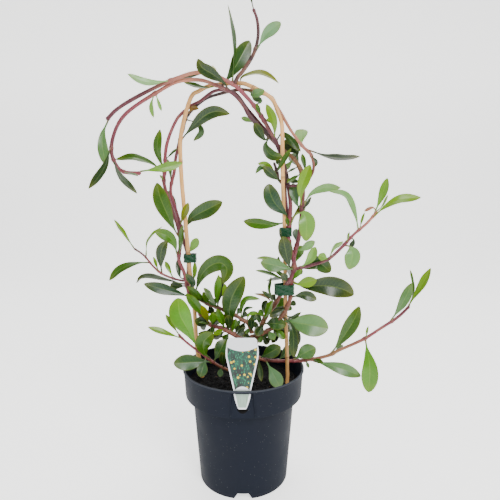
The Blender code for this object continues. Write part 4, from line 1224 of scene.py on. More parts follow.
        # Painted light and shade: one half of the blade is made lighter and the other darker, as
        # light falls on the folded halves.
        painted_half_light = 1.0 + random.uniform(-0.12, 0.12) * np.tanh(q * 6.0)
        upper = upper * (painted_half_light * ones)[..., None]
        warm = np.array(linear("#a9a545"))
        upper = blend(upper, warm, (0.16 * ease(0.72, 1.0, share))[:, None, None])
        upper = blend(upper, warm, (0.22 * np.abs(q) ** 8 * ones)[..., None])
        under = blend(upper, np.array(linear("#93ae7c")), 0.5)
        stalk = np.array(linear(random.choice(["#9b6c5e", "#8c7553", "#7d4c55"])))
        red = (1.0 - ease(petiole * 0.4, petiole + 0.06, share))[:, None, None] * 0.6
        upper, under = blend(upper, stalk, red), blend(under, stalk, red)
        upper[..., 3], under[..., 3] = 1.0, 0.0
        return np.concatenate([upper, under[:, -2:0:-1]], axis=1)


# The cane from its left end to its right one, as x,z
CANE_POINTS = read_points(
    "-66,52 -69,168 -77,220 -81,300 -86.7,350 -90,400 -93.6,450 -97,500 -97.7,550 -93,580 "
    "-80,620 -67,630 -48,638 -9,641.5 9.6,638 42.6,620 54,598 60,580 61.2,550 62.4,500 63.5,465 "
    "66,420 68,330 69.4,280 71.8,220 73.2,180 73,159 66,50")

# Each stem: radius at its foot and tip, bark colours, then its points as x,z,forward
STEMS = {
    "crown_stem": """
    5.2 3.6 wood brown
    5,120,0 8,172,0 12,215,0 15,243,0""",
    "stem_left_outer": """
    2.3 1.6 brown pink purple pink purple purple
    8.6,231,0 -0.5,234,2 -9,239,3 -31,252,4 -58,262,0 -75,285,-5 -89.6,317,-10 -95.6,346,-12
    -104,369,-14 -101,395,-12 -105,424,-12 -116,457,-14 -124.4,489,-14 -123,510,-14
    -120.5,541,-15 -114.8,562,-18 -105,583,-25 -97,594,-28 -80,608,-26 -66,615,-20 -43,630,-14
    -20,630,-12 -8,623,-11 5,606,-10 18,591,-10 40,566,-11""",
    "stem_left_inner": """
    2.1 1.5 brown brown purple purple pink dusk dusk tan salmon purple dusk
    14,246.3,2 8,262,5 -2,268,5 -12,275,3 -33,285,0 -58,295,-11 -75,305,-22 -88,320,-26.5
    -89.5,340,-26 -89.2,371,-25.6 -96,400,-26 -103,435,-24 -114.5,476,-21 -108,508,-20
    -105,530,-21 -98,558,-27 -93,572,-28 -88.5,588,-28 -80,600,-27 -58,618,-24 -30,627,-19
    -2,632,-13 20,628,-7 43,621.6,-2 50.6,610,0 58,598,3 73,573,15 91,549,22 106,534,22
    110.5,514,21 105,499,20 97,492,18 87,487,15 76,486,10 68,487.5,5 62,490,2.5 55,497,2
    54,505,1 48,523,-1""",
    "stem_right_front": """
    2.4 2 tan brown purple pink dusk purple pink salmon purple purple
    18,218,-1.5 22,232,-8 29,256,-9 38,276,-3 50,292,6 62,312,16 72,330,20 83,354,20
    76.5,384,17 72,407,13 73.5,425,12 75,449,9 74.4,464,6 71,487,1 66.6,509,0 55,545,2 34,583,2
    15.5,610,1.5 -2,629,2 -11,637,3 -29,647,5 -51,655.6,7 -74.5,656.6,9 -100,649,12 -130,637,14
    -169,618,14 -195,602,12 -211,586.5,11""",
    "stem_right_back": """
    2.3 1.9 brown brown pink purple tan dusk purple salmon pink purple pink
    19.4,239,2 30,244.5,3 47,254,5 60,270,12 70,286,17 75.5,300,17 77.3,312,14.5 77.3,326,13.5
    80.5,350,11 82.6,378,12 89.6,407,15 93,450,10 95,480,7 91,508.6,4 78.5,528.5,1 60,543,-5
    40.5,562,-5 12,590,-4 1.3,608,-4 -15,626,-4 -40,638,-1 -66,646,2 -100,643.6,5 -135,626,10
    -171,604,14 -190,585.5,14 -201.4,562,14 -205.4,539,15 -199.6,520,17 -187,508,19
    -160,505.5,20""",
    "stem_right_short": """
    1.8 1.3 purple purple
    71.4,426,8.2 70,434,5 70,443,4 67.8,464,3 66,487,-1.5 65,497,-3.5 63.5,508,-5""",
    "top_shoot": """
    2.3 1.4 dusk dusk purple
    -12.9,641,3.7 -6.6,652,6 1.5,661,7 16.6,685,9 23,709.5,10 21.6,732,9 15.4,749,7""",
    "runner_left_upper": """
    1.4 1 purple pink dusk
    -96.3,333.2,-11 -109.6,336,-8 -130,344,-4 -144.5,356,0 -160,375,3 -175.6,386.5,5""",
    "runner_left_lower": """
    1.8 1.2 tan brown pink pink
    3,173,1 -8,175,5 -23,180,10 -42,189,17 -66,207,23 -95,230,25 -108,244,25""",
    "runner_right_upper": """
    1.9 1.4 purple purple pink salmon
    85.2,353,20 110,359,20 137,369,20 158,388,20 177,409,19 196,426,17 208,440,16 212.5,447,16""",
    "runner_right_lower": """
    2.1 1.6 brown pink tan pink purple
    15.7,199.3,1.2 25,202,5 35,199,5 49.5,197.5,4 83.5,197.4,4 107,199,8 139,206,14 161,217,16
    199,235,20 227,254,22 253,272,23 272,291,23""",
}

# Each leaf: how it is held if it isn't joined, width, lean, tone, its points as x,z or
# x,z,forward, and any other field of its own
LEAVES = {
    "stem_left_outer": """
    10 6 olive -124.5,508 -133.7,542 -128.5,573
    3 10 mid -123,526 -102,544
    8 14 olive -125,506 -140,519 -158,526.5 -173,530 -199.8,527
    3 5 lime -125,495 -131,503
    own 19 10 olive -101,408 -117,432 -130.5,466 -135.7,491
    7 12 olive -103,374 -96,424.5
    own 14 16 bright -103.5,377 -111.7,396 -123,407.5 -141,414
    7 -10 dark -94,336 -103,341 -106,369
    6 12 dark -92,327 -157,339.6 -174.5,330
    own 14 16 bluish -84,305 -94,309 -162,328.5
    own 12 14 bright -58,262.2 -65,277 -93.4,312.4
    own 23 16 mid -22,247 -21,298 1,341
    10 14 bright -30,251.5 -43.4,287
    10 -8 dark -25,249 -24.5,276
    9 12 gold -56,261 -68.6,293
    15 -12 mid -46,259 -48,282
    13 10 dark -55,261 -80,267.5
    6 14 dark -48,258.5 -58,247 -75,244
    7 10 lime -31,252 -49.5,243
    9 16 bluish -88.9,315.4 -82.2,329.3 -93.5,344.9
    11 12 bright -51.2,259.5 -49.6,280.6
    12 16 dark -52.6,260 -39.2,272
    11 20 dark -25.5,248.8 -23.8,263.3 -25.8,276.3
    7 14 bright -18.9,244.8 -12,270.2
    6 -10 dark -14.5,242.2 -8.2,266.8
    9 -12 mid -22.2,246.8 -17.1,258.9
    5 12 dark -13.4,241.6 3.9,255.9
    9 -16 deep -27.7,250.1 -50.1,236.2
    6 10 mid -51.2,259.5 -50.9,244.1
    3 12 olive -54,260.5 -73.3,263.3
    9 -8 dark 5,232.2 -7.8,247.1
    10 -8 dark -91.1,324.2 -118.8,326.1
    drawn 9 -10 dark -16,243.9 -3.3,254.8
    drawn 8 -10 bright -28.6,251.5 -22.2,265.6
    drawn 9 -10 dark -37,254.8 -41.3,237.3
    drawn 9 -12 dark -51.6,258 -58.2,241.7
    drawn 8 -10 dark -57.9,262.4 -69.6,252.6
    drawn 9 -8 olive -22.3,247.1 -32.9,232.9
    drawn 8 -10 mid -72.4,275.4 -75.3,289.4""",
    "stem_left_inner": """
    6 -6 olive -112,490 -118,527.5
    10 -8 dark -101,428 -119,478.5
    9 4 gold -99,424 -97.5,432 -87,460
    own 15 14 mid -98,412 -87,428,-25 -79,437.5 -57,449 -33,461 broad=1.7 peak=0.66
    11 -6 pale -91,378 -84,384 -73,403
    6 6 lime -90,332 -80,340 -78,365
    own 20 26 olive -80,310 -67,344 -50,360 -34.5,362 -26.5,351 -33,328
    9 -8 dark -60,296 -88,316
    9 16 olive -57,295 -91.5,324
    7 18 olive -43,288.5 -65,321.4
    9 16 bright -41,288 -43.5,307 -40,343.7
    8 -10 lime -31,284.5 -30,305 -30,328.6
    7 14 bright -3,268.5 -3,289 6,303 27,303
    4 8 bluish -1,268 3,285 16,289
    5 -12 light 6,263 9,277 23,281
    9 -16 bluish 9,260 20,276
    own 15 16 dark -98,557 -88,566,-28 -62,591 -42,599.6 -20,596
    7 -8 mid -88.5,588 -72,582 -65,569 -77,555
    6 8 brown -84,595 -78,604 -68,604
    6.5 -8 gold -5,631.5 -3,648 8,654 25,656 42,650.5 55,641
    10 22 sage 12,630.5 14,625,0 22,627,9 33,631,12
    17 -14 pale 91.5,548.5 90,573
    own 7.5 12 deep 101,539.3 112,538 130,532 157,529 183,531.6
    4 10 dark 107,533 114,524 113,515.6
    6 10 olive 53.5,507 57,514,14 75,544
    8 12 lime 55,499 38,517 23,520.7
    11 -4 dark 60,491.5 31.6,516
    7 -10 olive 52,511 57.5,519 52,527
    9 -12 deep -43,289 -36.7,319.1 -37.4,340.3
    11 -6 sage -44.2,289.5 -53.5,303.8
    8 12 olive -54.2,293.5 -65.9,314.9
    6 8 grey 53.4,506.8 30.3,515.1 19.3,505.5
    9 8 bluish 14,246.3 12.2,273.2
    7 -16 deep -58.9,295.5 -87.4,316.4
    drawn 9 -10 dark 3,265.6 -3.3,252.6
    drawn 9 -8 mid 5.1,263.5 16.6,258
    drawn 9 -14 dark -3.3,270 5.1,280.8
    drawn 8 -14 mid -11.6,275.4 -4.3,287.2
    drawn 10 -12 dark -20,279.7 -22.2,263.5
    drawn 8 -12 dark -28.3,284 -30.5,270
    drawn 9 8 olive 11.4,254.8 3,243.9
    drawn 8 6 mid -3.3,270 -11.7,258
    drawn 9 -12 dark -57.5,295.8 -51.4,278.6""",
    "stem_right_front": """
    own 16 20 mid 32,264 50,262,13 70,259
    11 14 dark 31,262 30,256 22,240
    9 16 bright 33,266 48,301
    11 14 bright 45,286 69,303
    9 -10 dark 43,283 68,290
    8 -6 dark 37,275 33,287 38,301
    4 10 olive 74,334 64,337 42,345 20,350.6
    4 12 olive 53,297 41,318 45,341
    4 -6 brown 49,291 38,306 18,312
    own 17 10 dark 82.8,357 74,359,25 63,406
    own 17 12 sage 83.2,353 76,353,27 62,356.5 28,364.3
    7 14 gold 74,430 100.5,463
    5 9 olive 73,421 68.5,437
    own 20 22 pale 73.4,425 83,440 94,443 101,430 100.5,398 bare=0.36 peak=0.45
    8 6 mint -110,645.2 -147,642.5 -176,655
    own 12 10 sage -209.5,588 -217.5,566 -218.5,542 -212.8,514.8
    3 -10 cream -38,651.5 -46.5,668
    5 -10 dark -58,656.5 -75,652 -95,648
    4 -12 mid -16,640.6 -14,666 -14,690 -18,725 -22.4,754
    7 -10 grey 17,608 27,615 14,621
    5 8 olive 27.5,592.5 20.5,611.5
    10 12 lime 49,557 48,583 36,610.5
    9 -10 lime 32,585.5 47,588
    9 5 mid 50,553 63,566,-1 90,539
    3 -8 dark 73.8,397.8 61,404.5 57.5,418.5
    5 12 dark 54.2,299 29.9,316.8
    4 10 olive 50.6,293 41.8,314.2
    6 8 lime 28.6,254.8 20,282.1
    9 5 dark 72.5,331 62.8,346
    drawn 9 -8 dark 27.2,252.6 15.6,263.5
    drawn 9 -12 mid 30.3,261.3 21.9,276.5
    drawn 8 -10 bright 34.4,270 26,285.1
    drawn 9 -8 mid 26.1,246 35.7,235.1
    drawn 9 -12 dark 44.8,285.1 57.4,276.5
    drawn 8 -8 dark 53.1,298 46.7,310.8""",
    "stem_right_back": """
    own 27 16 sage 59,268.5 70,265.5 111,259 140,253.3
    9 -10 mid 47,254 76,249
    12 -18 dark 64,276 76,262 82,245 84,203
    8 14 grey 80,336 62.5,332
    own 13 14 lime 79,332 89,328 119,335
    9 -8 lime 79.5,338 95,353
    own 24 12 dark 79,334 83,331 100,325 135,325 160,320 180,310
    12 10 dark 76.8,306 99,309.5 119.6,302
    own 18 18 mid 81,352 103,357.5 121.5,362.5 141.5,348.6
    11 -10 bright 81.6,358 94,391
    10 14 mint 84,386 94,385 115,398
    9 -14 grey 85.5,392 84,418
    7 -10 gold 91,428 97,463
    own 14 -9 lime 93.5,455 91,468 92,484 105,519
    12 -12 grey 93,448 84,460 78,490
    own 10 14 mint 94,458 108.5,474.5 131,483.2 154,483
    4 -8 dark 93,448 100.5,456 108,469
    16 -14 dark 79,528 84,538 64,556
    7 -12 pale 79,528 66,512
    3 8 dark 86,516 70,507
    5 12 olive 92,506 68.5,491
    6 -14 olive 91.5,507 97,512 92,536
    11 12 dark 40.5,562 33,558 17,582
    12 22 mid 41,561.5 35,548 44,534 62,530
    6 -10 pale 21,582 -2.7,590.5
    own 14 -8 dark -24,631 -30,643 -47,655 -62,664 -68.4,677
    5 -10 olive -41,638 -60,635 -90,642.5
    5 10 pale -136,625.5 -141,609 -138,590.3
    4 -8 pale -134,626 -125.5,600
    own 9 10 dark -205,544 -215,519.5 -226.5,501 -244,481.4
    8 14 dark -205,526 -197,508 -185,490.5 -167.5,473.7
    own 11 -18 light -162,505.5 -95,521.5
    3 8 olive -187,508 -165,501
    own 19 -6 mid -33,635.5 -24,647 -8.5,670 10.2,703
    5 -12 dark 83.3,380.9 56.5,388.5
    6 -8 lime 80.8,354.2 39.6,368.5 21.3,370.8
    6 -12 olive 80.5,350 58.9,362.8 56.5,373.5
    5 -20 dark 78.9,338 57.1,336.5 37.3,333.9
    9 10 bright 49,256.4 68.2,235.2
    9 16 sage 40.2,250.2 51.7,233.8
    13 -14 dark 54.8,263.6 80.6,250.9 91.1,225.3
    5 14 olive 80.6,351.4 75.3,356.6
    7.5 -24 deep 78.1,332 73.7,354.7
    5 4 olive 78.3,333.2 50.8,351
    13 -16 grey 89.1,511.6 75.5,535.5
    6 10 dark 93.4,491.4 68.2,495.9
    5 -8 dark 93.4,491.4 91.6,500.4
    6 6 bright 78.3,333.2 94.1,352.6
    9 -16 deep 70.5,287.4 42.6,273.2
    9 -14 dark 50.2,258 56,246 47.1,228.5
    5 -14 dark 65,278 80,272 94.8,280.8
    drawn 10 -10 bluish 38.7,249.3 47.3,234
    drawn 9 -10 mid 47.1,253.7 57.8,241.7
    drawn 9 -10 dark 55.5,258 47,270
    drawn 9 -12 dark 63.8,272.1 76.5,263.5
    drawn 9 -12 olive 67.9,280.8 78.2,291.5
    drawn 9 -10 dark 30.3,245 41,226.3
    drawn 8 -10 dark 74,291.5 85.4,298
    drawn 8 4 olive 30.3,243.9 26.2,228.5""",
    "stem_right_short": """
    own 13 -8 olive 70,433 61.5,427 41.5,425 19,427 0.4,430.5
    own 19 11 bluish 70,438 69,440.5,14 64,445,18 50,459,19 42.3,476.5,18 40.5,489.3""",
    "top_shoot": """
    own 13 10 silver 19.8,690.5 36,713 57,729
    4 -8 dark 16.5,746 12.5,760 5,781""",
    "runner_left_upper": """
    own 13 12 dark -133,346 -133.5,366 -131,385 -122,399
    6 -10 lime -113.6,337 -126,365.5
    4 10 lime -137,349 -145.5,373
    5 10 lime -175,386 -206,433
    3 -12 lime -158,372 -152,400 -129,422
    9 16 olive -152,363 -170,362.5 -198,353 -218,334""",
    "runner_left_lower": """
    own 26 8 fresh -76,214.5 -88,244 -103.5,275.5 -107,305 peak=0.7 fold=0.12
    6 -6 lime -106,241 -127.6,277
    7 12 lime -102,236 -157.5,255.6
    own 25 14 grey -52,196 -64,196 -116.7,193 broad=1.02 fold=0.12
    own 16 22 grey -62,203.6 -73,169
    own 20 10 olive -57,200 -65,212 -66,230 -50.5,246
    18 -10 mid -50,195 -29,234 broad=1.6
    8 10 dark -33,184 -36,213
    12 14 grey -37,187 -40,169""",
    "runner_right_upper": """
    10 10 light 137,369 121,376
    11 -14 pale 92,354.5 107.6,369 116,389
    8 10 mint 184,415.5 178,440 163,470 134.6,478
    3 -8 lime 185,417 193,444
    4 8 rose 211.5,446 205,452 192,446
    own 10 6 light 210.5,443 219.4,471 227,498.3
    3 -10 lime 212,446.5 222,456 229,472
    own 10 12 lime 206,438 222,450.5 247,464.2 281.3,468
    own 22 10 mint 163,392.5 171,389 176,375 170.7,352 bare=0.16 peak=0.45
    6 -10 dark 172.5,404 177,399 172,388
    3 8 lime 166,396 170,413
    6 -10 pale 138,370 146,386 160,398""",
    "runner_right_lower": """
    17 14 mid 26,202 62,222
    14 -8 grey 57,197.7 80,221
    own 20 12 sage 84,197.4 101,211 120,220
    own 17 50 silver 38,198.5 62,150 fold=0.1 peak=0.7
    7 34 dark 25,202 30,161
    4 10 olive 104,198.5 109,185
    own 17 12 olive 147,210.5 159,229 180.5,265 190,291
    5 -8 olive 149,211.5 165,225
    own 24 14 fresh 200,236 205.3,215.5 211.2,183.5 210.5,142 broad=1.1
    own 15 16 sage 115,201 151,187.5 173.5,180.3 196.5,170.4
    6 12 olive 113,200.5 133,195
    3 8 lime 202,237 206,257
    own 12 10 sage 244,266 261,297.5 274,330
    own 11 6 lime 271.5,290.5 289.5,325 303.3,354.5 broad=1.1
    3 -10 olive 271,290 276,315 270,351.5""",
    "crown_stem": """
    8 12 grey 14.8,241.6 45.3,244.3
    8 14 deep 14.2,236 -1.2,241.1
    10 -14 dark 14.7,240.2 26.6,254.6
    12 -16 deep 13.8,231.8 -5.4,245""",
}

# Each tie: CAD node, middle as (x, z, forward), half width, half depth and height
TIES = [
    ("tie_left", (-85.6, 371, -21.4), 9.0, 7.0, 14.0),
    ("tie_right_upper", (67.9, 413, 11.4), 7.9, 5.6, 14.0),
    ("tie_right_lower", (66.6, 319.5, 14.1), 14.2, 8.1, 17.0),
]


def read_stems() -> dict[str, Stem]:
    """Reads the table of stems."""
    return {name: Stem.read(text) for name, text in STEMS.items()}


def read_leaves() -> dict[str, list[Leaf]]:
    """Reads the table of leaves, by the stem that they grow on."""
    return {name: [Leaf.read(row) for row in text.strip().splitlines()]
            for name, text in LEAVES.items()}


@dataclass
class Vine:
    """The plant: its stems and the leaves on them.

    Args:
        finishes: The materials.
        stems: Each stem by its CAD node.
        leaves: The leaves of each stem, from the table.
    """

    finishes: Finishes
    stems: dict[str, Stem] = field(default_factory=read_stems)
    leaves: dict[str, list[Leaf]] = field(default_factory=read_leaves)

    def node_points(self, name: str) -> Array:
        """A CAD node's points, in millimetres.

        Args:
            name: The node.

        Returns:
            Its points.
        """
        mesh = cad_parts[name].data
        points = np.empty(len(mesh.vertices) * 3, np.float32)
        mesh.vertices.foreach_get("co", points)
        return points.reshape(-1, 3).astype(float) / MM

    def build(self) -> None:
        """Makes a piece for every stem, one for its small leaves and one for each larger leaf."""
        for order, (name, stem) in enumerate(self.stems.items()):
            line = stem.line()
            node_points = self.node_points(name)
            short = name.replace("stem_", "")
            shares, small = [], []
            for number, leaf in enumerate(self.leaves[name]):
                seed = 1000 * order + number
                shares.append(stem.foot(line, *leaf.points[0][:2])[3])
                if leaf.grow is Grow.OWN:
                    node = f"leaf_{short}_{number + 1:02d}"
                    spots = leaf.settled(stem, line, self.node_points(node))
                    make_piece(f"{node}_blade", [leaf.shell(spots, seed)], self.finishes.leaf,
                               [node])
                elif leaf.grow is Grow.JOINED:
                    small.append(leaf.shell(leaf.settled(stem, line, node_points), seed))
                else:
                    small.append(leaf.shell(leaf.spots(stem, line, 0.0), seed))
            make_piece(f"{name}_bark", [stem.shell(shares, order)], self.finishes.stem,
                       [name])
            if small:
                make_piece(f"small_leaves_{short}", small, self.finishes.leaf,
                           [name])


@dataclass
class Hoop:
    """Bamboo cane bent into a hoop.

    Args:
        finish: Its material.
        left: Radius of the left end.
        right: Radius of the right end.
        left_x: Place across of the left end.
        left_forward: How far the left end stands forward.
        turn: Forward places are left_forward + turn * (x - left_x).
        spacing: Distance between the rings of its mesh.
        around: Points round each ring.
        swell: How much thicker the cane is at its node rings.
        groove: Depth of the groove at a node ring, as a share of the radius.
        node_places: Where its node rings are seen, as (x, z).
    """

    finish: bpy.types.Material
    left: float = 3.65
    right: float = 3.0
    left_x: float = -69.0
    left_forward: float = -15.0
    turn: float = 0.183
    spacing: float = 0.8
    around: int = 28
    swell: float = 0.11
    groove: float = 0.05
    node_places: tuple[tuple[float, float], ...] = (
        (-76, 214), (-88, 380), (-97.5, 523), (15, 635), (62.4, 500), (72, 204))

    def spots(self, places: Sequence[tuple[float, ...]]) -> Array:
        """World points of the cane that are seen at (x, z)."""
        return place(np.array([
            (x, z, self.left_forward + self.turn * (x - self.left_x)) for x, z in places]))

    def build(self) -> None:
        """Carries a round profile along the hoop.

        The radius is the taper times one plus a low bell and minus a fine groove at each node
        ring, and the cane is flattened a little and sways by a slow wave.
        """
        route = smooth_route(self.spots(CANE_POINTS), self.spacing)
        share = np.linspace(0.0, 1.0, len(route))
        length = route_length(route)
        grooves = np.zeros(len(route))
        bells = np.zeros(len(route))
        for spot in self.spots(self.node_places):
            away = (share - share[np.linalg.norm(route - spot, axis=1).argmin()]) * length
            bells += np.exp(-(away / 3.6) ** 2)
            grooves += np.exp(-(away / 0.9) ** 2) + 0.5 * np.exp(-((away - 2.6) / 0.9) ** 2)
        radius = self.left + share * (self.right - self.left)
        sway = 0.012 * np.sin(share * length / 21.0)
        radius = radius * (1.0 + self.swell * bells - self.groove * grooves + sway)
        oval = 1.0 + 0.02 * np.cos(2 * circle(self.around)[None, :] + share[:, None] * 5.0)
        rings, uv = carried(route, radius[:, None] * oval)
        warm = 1.0 + 0.16 * np.sin(share * length / 57.0) + 0.06 * np.sin(share * length / 11.0)
        tint = np.ones((*rings.shape[:2], 4)) * warm[:, None, None]
        tint[..., 3] = np.clip(grooves, 0.0, 1.0)[:, None] * 0.75
        make_piece("bamboo_cane", [tube_shell(rings, tint, uv)], self.finish,
                   ["bamboo_hoop"])


def turned_shell(profile: Array, steps: int, colour: str, lift: Array | None = None) -> Shell:
    """Spins a profile about Z.

    Args:
        profile: Rows (radius, z), from one end of the axis to the other.
        steps: Points round the axis.
        colour: Colour of every point.
        lift: Heights added to the points, as (profile row, step).

    Returns:
        The closed shell; each ring is (r cos a, r sin a, z).
    """
    angle = circle(steps)
    radius, up = profile[:, 0][:, None], profile[:, 1][:, None]
    height = up + (0.0 if lift is None else lift)
    rings = grid(radius * np.cos(angle), radius * np.sin(angle), height)
    uv = grid(angle[None, :] * 10, up)
    return tube_shell(rings, plain_tint(rings.shape[:2], colour), uv)


def rounded(corners: list[tuple[float, float, float]], arc: int = 5) -> Array:
    """Rounds a profile's corners.

    Args:
        corners: Rows (radius, z, rounding), the last being how far from the corner its curve
            starts and ends.
        arc: Stretches in each rounded corner.

    Returns:
        The profile; a rounded corner c between a and b is the curve
        (1 - t) ** 2 a + 2 t (1 - t) c + t ** 2 b.
    """
    points = np.array([corner[:2] for corner in corners])
    rows = [points[:1]]
    t = np.linspace(0.0, 1.0, arc + 1)[:, None]
    for index in range(1, len(points) - 1):
        corner = points[index]
        size = corners[index][2]
        before = corner + unit(points[index - 1] - corner) * size
        after = corner + unit(points[index + 1] - corner) * size
        rows.append((1 - t) ** 2 * before + 2 * t * (1 - t) * corner + t ** 2 * after)
    rows.append(points[-1:])
    return np.vstack(rows)


def densified(profile: Array, spacing: float) -> Array:
    """Adds points to a profile's long stretches.

    Args:
        profile: Points in order.
        spacing: Largest distance between points, roughly.

    Returns:
        The profile with the added points.
    """
    rows = [profile[:1]]
    for first, second in zip(profile, profile[1:]):
        count = max(1, int(np.linalg.norm(second - first) / spacing))
        rows.append(first + (second - first) * (np.arange(1, count + 1) / count)[:, None])
    return np.vstack(rows)


def turned(angle: float) -> Array:
    """Matrix that turns rows of points about Z."""
    return np.array([[math.cos(angle), math.sin(angle), 0],
                     [-math.sin(angle), math.cos(angle), 0], [0, 0, 1]])


@dataclass
class NurseryPot:
    """Pot with a deep collar, foot notches, drain holes and a label pocket.

    Args:
        finish: Its material.
        steps: Points round it.
        spacing: Largest distance between points of its outline.
        wall: Thickness of the wall.
        base: Outer radius at the foot.
        shoulder: Outer radius under the collar.
        collar_foot: Height of the collar's lower edge.
        collar_foot_radius: Outer radius there.
        lip: Height of the lip's band under the rim.
        lip_step: How far the lip stands out from the collar.
        floor: Height of the floor's upper side.
        boss: Radius of the boss in the middle of the floor.
        boss_taper: How much wider the boss is at its foot.
        notch_height: Height of a foot notch.
        notch_foot: Width of a notch at the ground.
        notch_top: Width of a notch at its top.
        notches: Number of notches.
        drains: Number of drain holes.
        drain_circle: Radius of the circle on which they lie.
        drain_radius: Radius of a drain hole.
        slot_half: Half width of the label's slot.
        slot_front: How far the slot's front stands forward.
        slot_back: How far its back stands forward.
        panel_back: How far the back of the pocket's panel stands forward.
        pocket_foot: Height of the pocket's floor.
        flare: How much wider the window over the pocket is in front than behind.
        tint: Colour written on its mesh.
    """

    finish: bpy.types.Material
    steps: int = 220
    spacing: float = 9.0
    wall: float = 1.8
    base: float = 73.6
    shoulder: float = 84.4
    collar_foot: float = 146.0
    collar_foot_radius: float = 96.2
    lip: float = 3.5
    lip_step: float = 1.5
    floor: float = 12.0
    boss: float = 12.5
    boss_taper: float = 2.0
    notch_height: float = 9.6
    notch_foot: float = 31.0
    notch_top: float = 17.0
    notches: int = 3
    drains: int = 6
    drain_circle: float = 48.0
    drain_radius: float = 5.0
    slot_half: float = 14.3
    slot_front: float = 96.1
    slot_back: float = 94.5
    panel_back: float = 92.7
    pocket_foot: float = 150.0
    flare: float = 6.0
    tint: str = "#3b3f48"

    def wall_radius(self, z: float) -> float:
        """Outer radius of the body at a height."""
        return self.base + (self.shoulder - self.base) * z / self.collar_foot

    def collar_radius(self, z: float) -> float:
        """Outer radius of the collar at a height."""
        share = (z - self.collar_foot) / (POT_HEIGHT - self.lip - self.collar_foot)
        return self.collar_foot_radius + (
            RIM_RADIUS - self.lip_step - self.collar_foot_radius) * share

    def profile(self) -> Array:
        """Outline of the pot's wall, from the floor's middle up, over the lip and down."""
        wall, floor, boss, ledge = self.wall, self.floor, self.boss, self.collar_foot
        lip_foot, under = POT_HEIGHT - self.lip, floor - wall
        ledge_wall, ledge_collar = self.wall_radius(ledge), self.collar_radius(ledge)
        collar_top = self.collar_radius(lip_foot)
        return densified(rounded([
            (0.0, wall, 0), (boss - wall - self.boss_taper, wall, 1.0), (boss - wall, floor, 1.0),
            (self.wall_radius(floor) - wall, floor, 2.0), (ledge_wall - wall, ledge + wall, 1.2),
            (ledge_collar - wall, ledge + wall, 1.2), (collar_top - wall, lip_foot, 0.8),
            (collar_top - wall + 0.1, POT_HEIGHT, 0.7), (RIM_RADIUS, POT_HEIGHT, 0.8),
            (RIM_RADIUS, lip_foot, 0.5), (collar_top, lip_foot, 0.3), (ledge_collar, ledge, 0.7),
            (ledge_wall, ledge, 0.6), (self.base, 0.0, 0.6), (self.base - wall, 0.0, 0.6),
            (self.wall_radius(under) - wall, under, 1.0), (boss + self.boss_taper, under, 1.0),
            (boss, 0.0, 0.5), (0.0, 0.0, 0),
        ]), self.spacing)

    def prism(self, name: str, outline: list[tuple[float, float]], front: float, back: float,
              turn: float = 0.0, flare: float = 0.0) -> bpy.types.Object:
        """Makes a cutter with an outline in x and z.

        Args:
            name: Its name.
            outline: Rows (x, z).
            front: How far its front stands forward.
            back: How far its back stands forward.
            turn: Angle by which it is turned about Z.
            flare: How much wider it is in front, on both sides.

        Returns:
            The cutter: the outline at y = -front and at y = -back, joined.
        """
        shape = np.array(outline)
        rings = np.stack([
            grid(shape[:, 0] + wider * np.sign(shape[:, 0]), -y, shape[:, 1])
            for y, wider in ((front, flare), (back, 0.0))]) @ turned(turn)
        tint, flat = plain_tint(rings.shape[:2], self.tint), np.zeros((*rings.shape[:2], 2))
        return add_object(name, make_mesh(name, [tube_shell(rings, tint, flat)]))

    def drain(self, number: int) -> bpy.types.Object:
        """Makes the cutter for one drain hole: an upright cylinder through the floor.

        Args:
            number: Which hole it is, counted round the pot.

        Returns:
            The cutter.
        """
        angle = math.tau * (number + 0.5) / self.drains
        hole = turned_shell(np.array([
            (0.0, 8.0), (self.drain_radius, 8.0), (self.drain_radius, 14.0), (0.0, 14.0)]),
            32, self.tint)
        hole.points = hole.points + np.array(
            [self.drain_circle * math.cos(angle), self.drain_circle * math.sin(angle), 0.0])
        return add_object(f"drain_{number}", make_mesh(f"drain_{number}", [hole]))

    def cutters(self) -> list[tuple[bpy.types.Object, str]]:
        """Every cutter with its operation, in order."""
        half, front, back = self.slot_half, self.slot_front, self.slot_back
        low, top, lip_foot = self.collar_foot, POT_HEIGHT, POT_HEIGHT - self.lip
        panel = [(-half - 5, low + 1), (half + 5, low + 1), (half + 5, top - 2),
                 (-half - 5, top - 2)]
        slot = [(-half, self.pocket_foot), (half, self.pocket_foot), (half, top + 5),
                (-half, top + 5)]
        window = [(-17.8, low - 1), (17.8, low - 1), (14, lip_foot), (-15, lip_foot)]
        wide, narrow, high = self.notch_foot / 2, self.notch_top / 2, self.notch_height
        notch = [(-wide, -2), (wide, -2), (narrow, high), (-narrow, high)]
        cuts = [
            self.prism("slot", slot, front, back),
            self.prism("window", window, RIM_RADIUS + 4, back, flare=self.flare),
            *(self.prism(f"notch_{number}", notch, self.base + 6, self.base - 6,
                         math.tau * number / self.notches) for number in range(self.notches)),
            *(self.drain(number) for number in range(self.drains)),
        ]
        joined = self.prism("panel", panel, front + 0.4, self.panel_back)
        return [(joined, "UNION"), *((cut, "DIFFERENCE") for cut in cuts)]

    def build(self) -> None:
        """Spins the wall, cuts it and adds it as a piece."""
        wall = turned_shell(self.profile(), self.steps, self.tint)
        work = add_object("nursery_pot_work", make_mesh("nursery_pot", [wall]))
        cutters = self.cutters()
        for cutter, operation in cutters:
            modifier = work.modifiers.new("cut", "BOOLEAN")
            modifier.operation, modifier.solver, modifier.object = operation, "EXACT", cutter
        graph = bpy.context.evaluated_depsgraph_get()
        cut = bpy.data.meshes.new_from_object(work.evaluated_get(graph))
        for used in [work, *(cutter for cutter, _ in cutters)]:
            bpy.data.objects.remove(used, do_unlink=True)
        make_piece("nursery_pot", cut, self.finish, ["pot"], sharp=32.0)


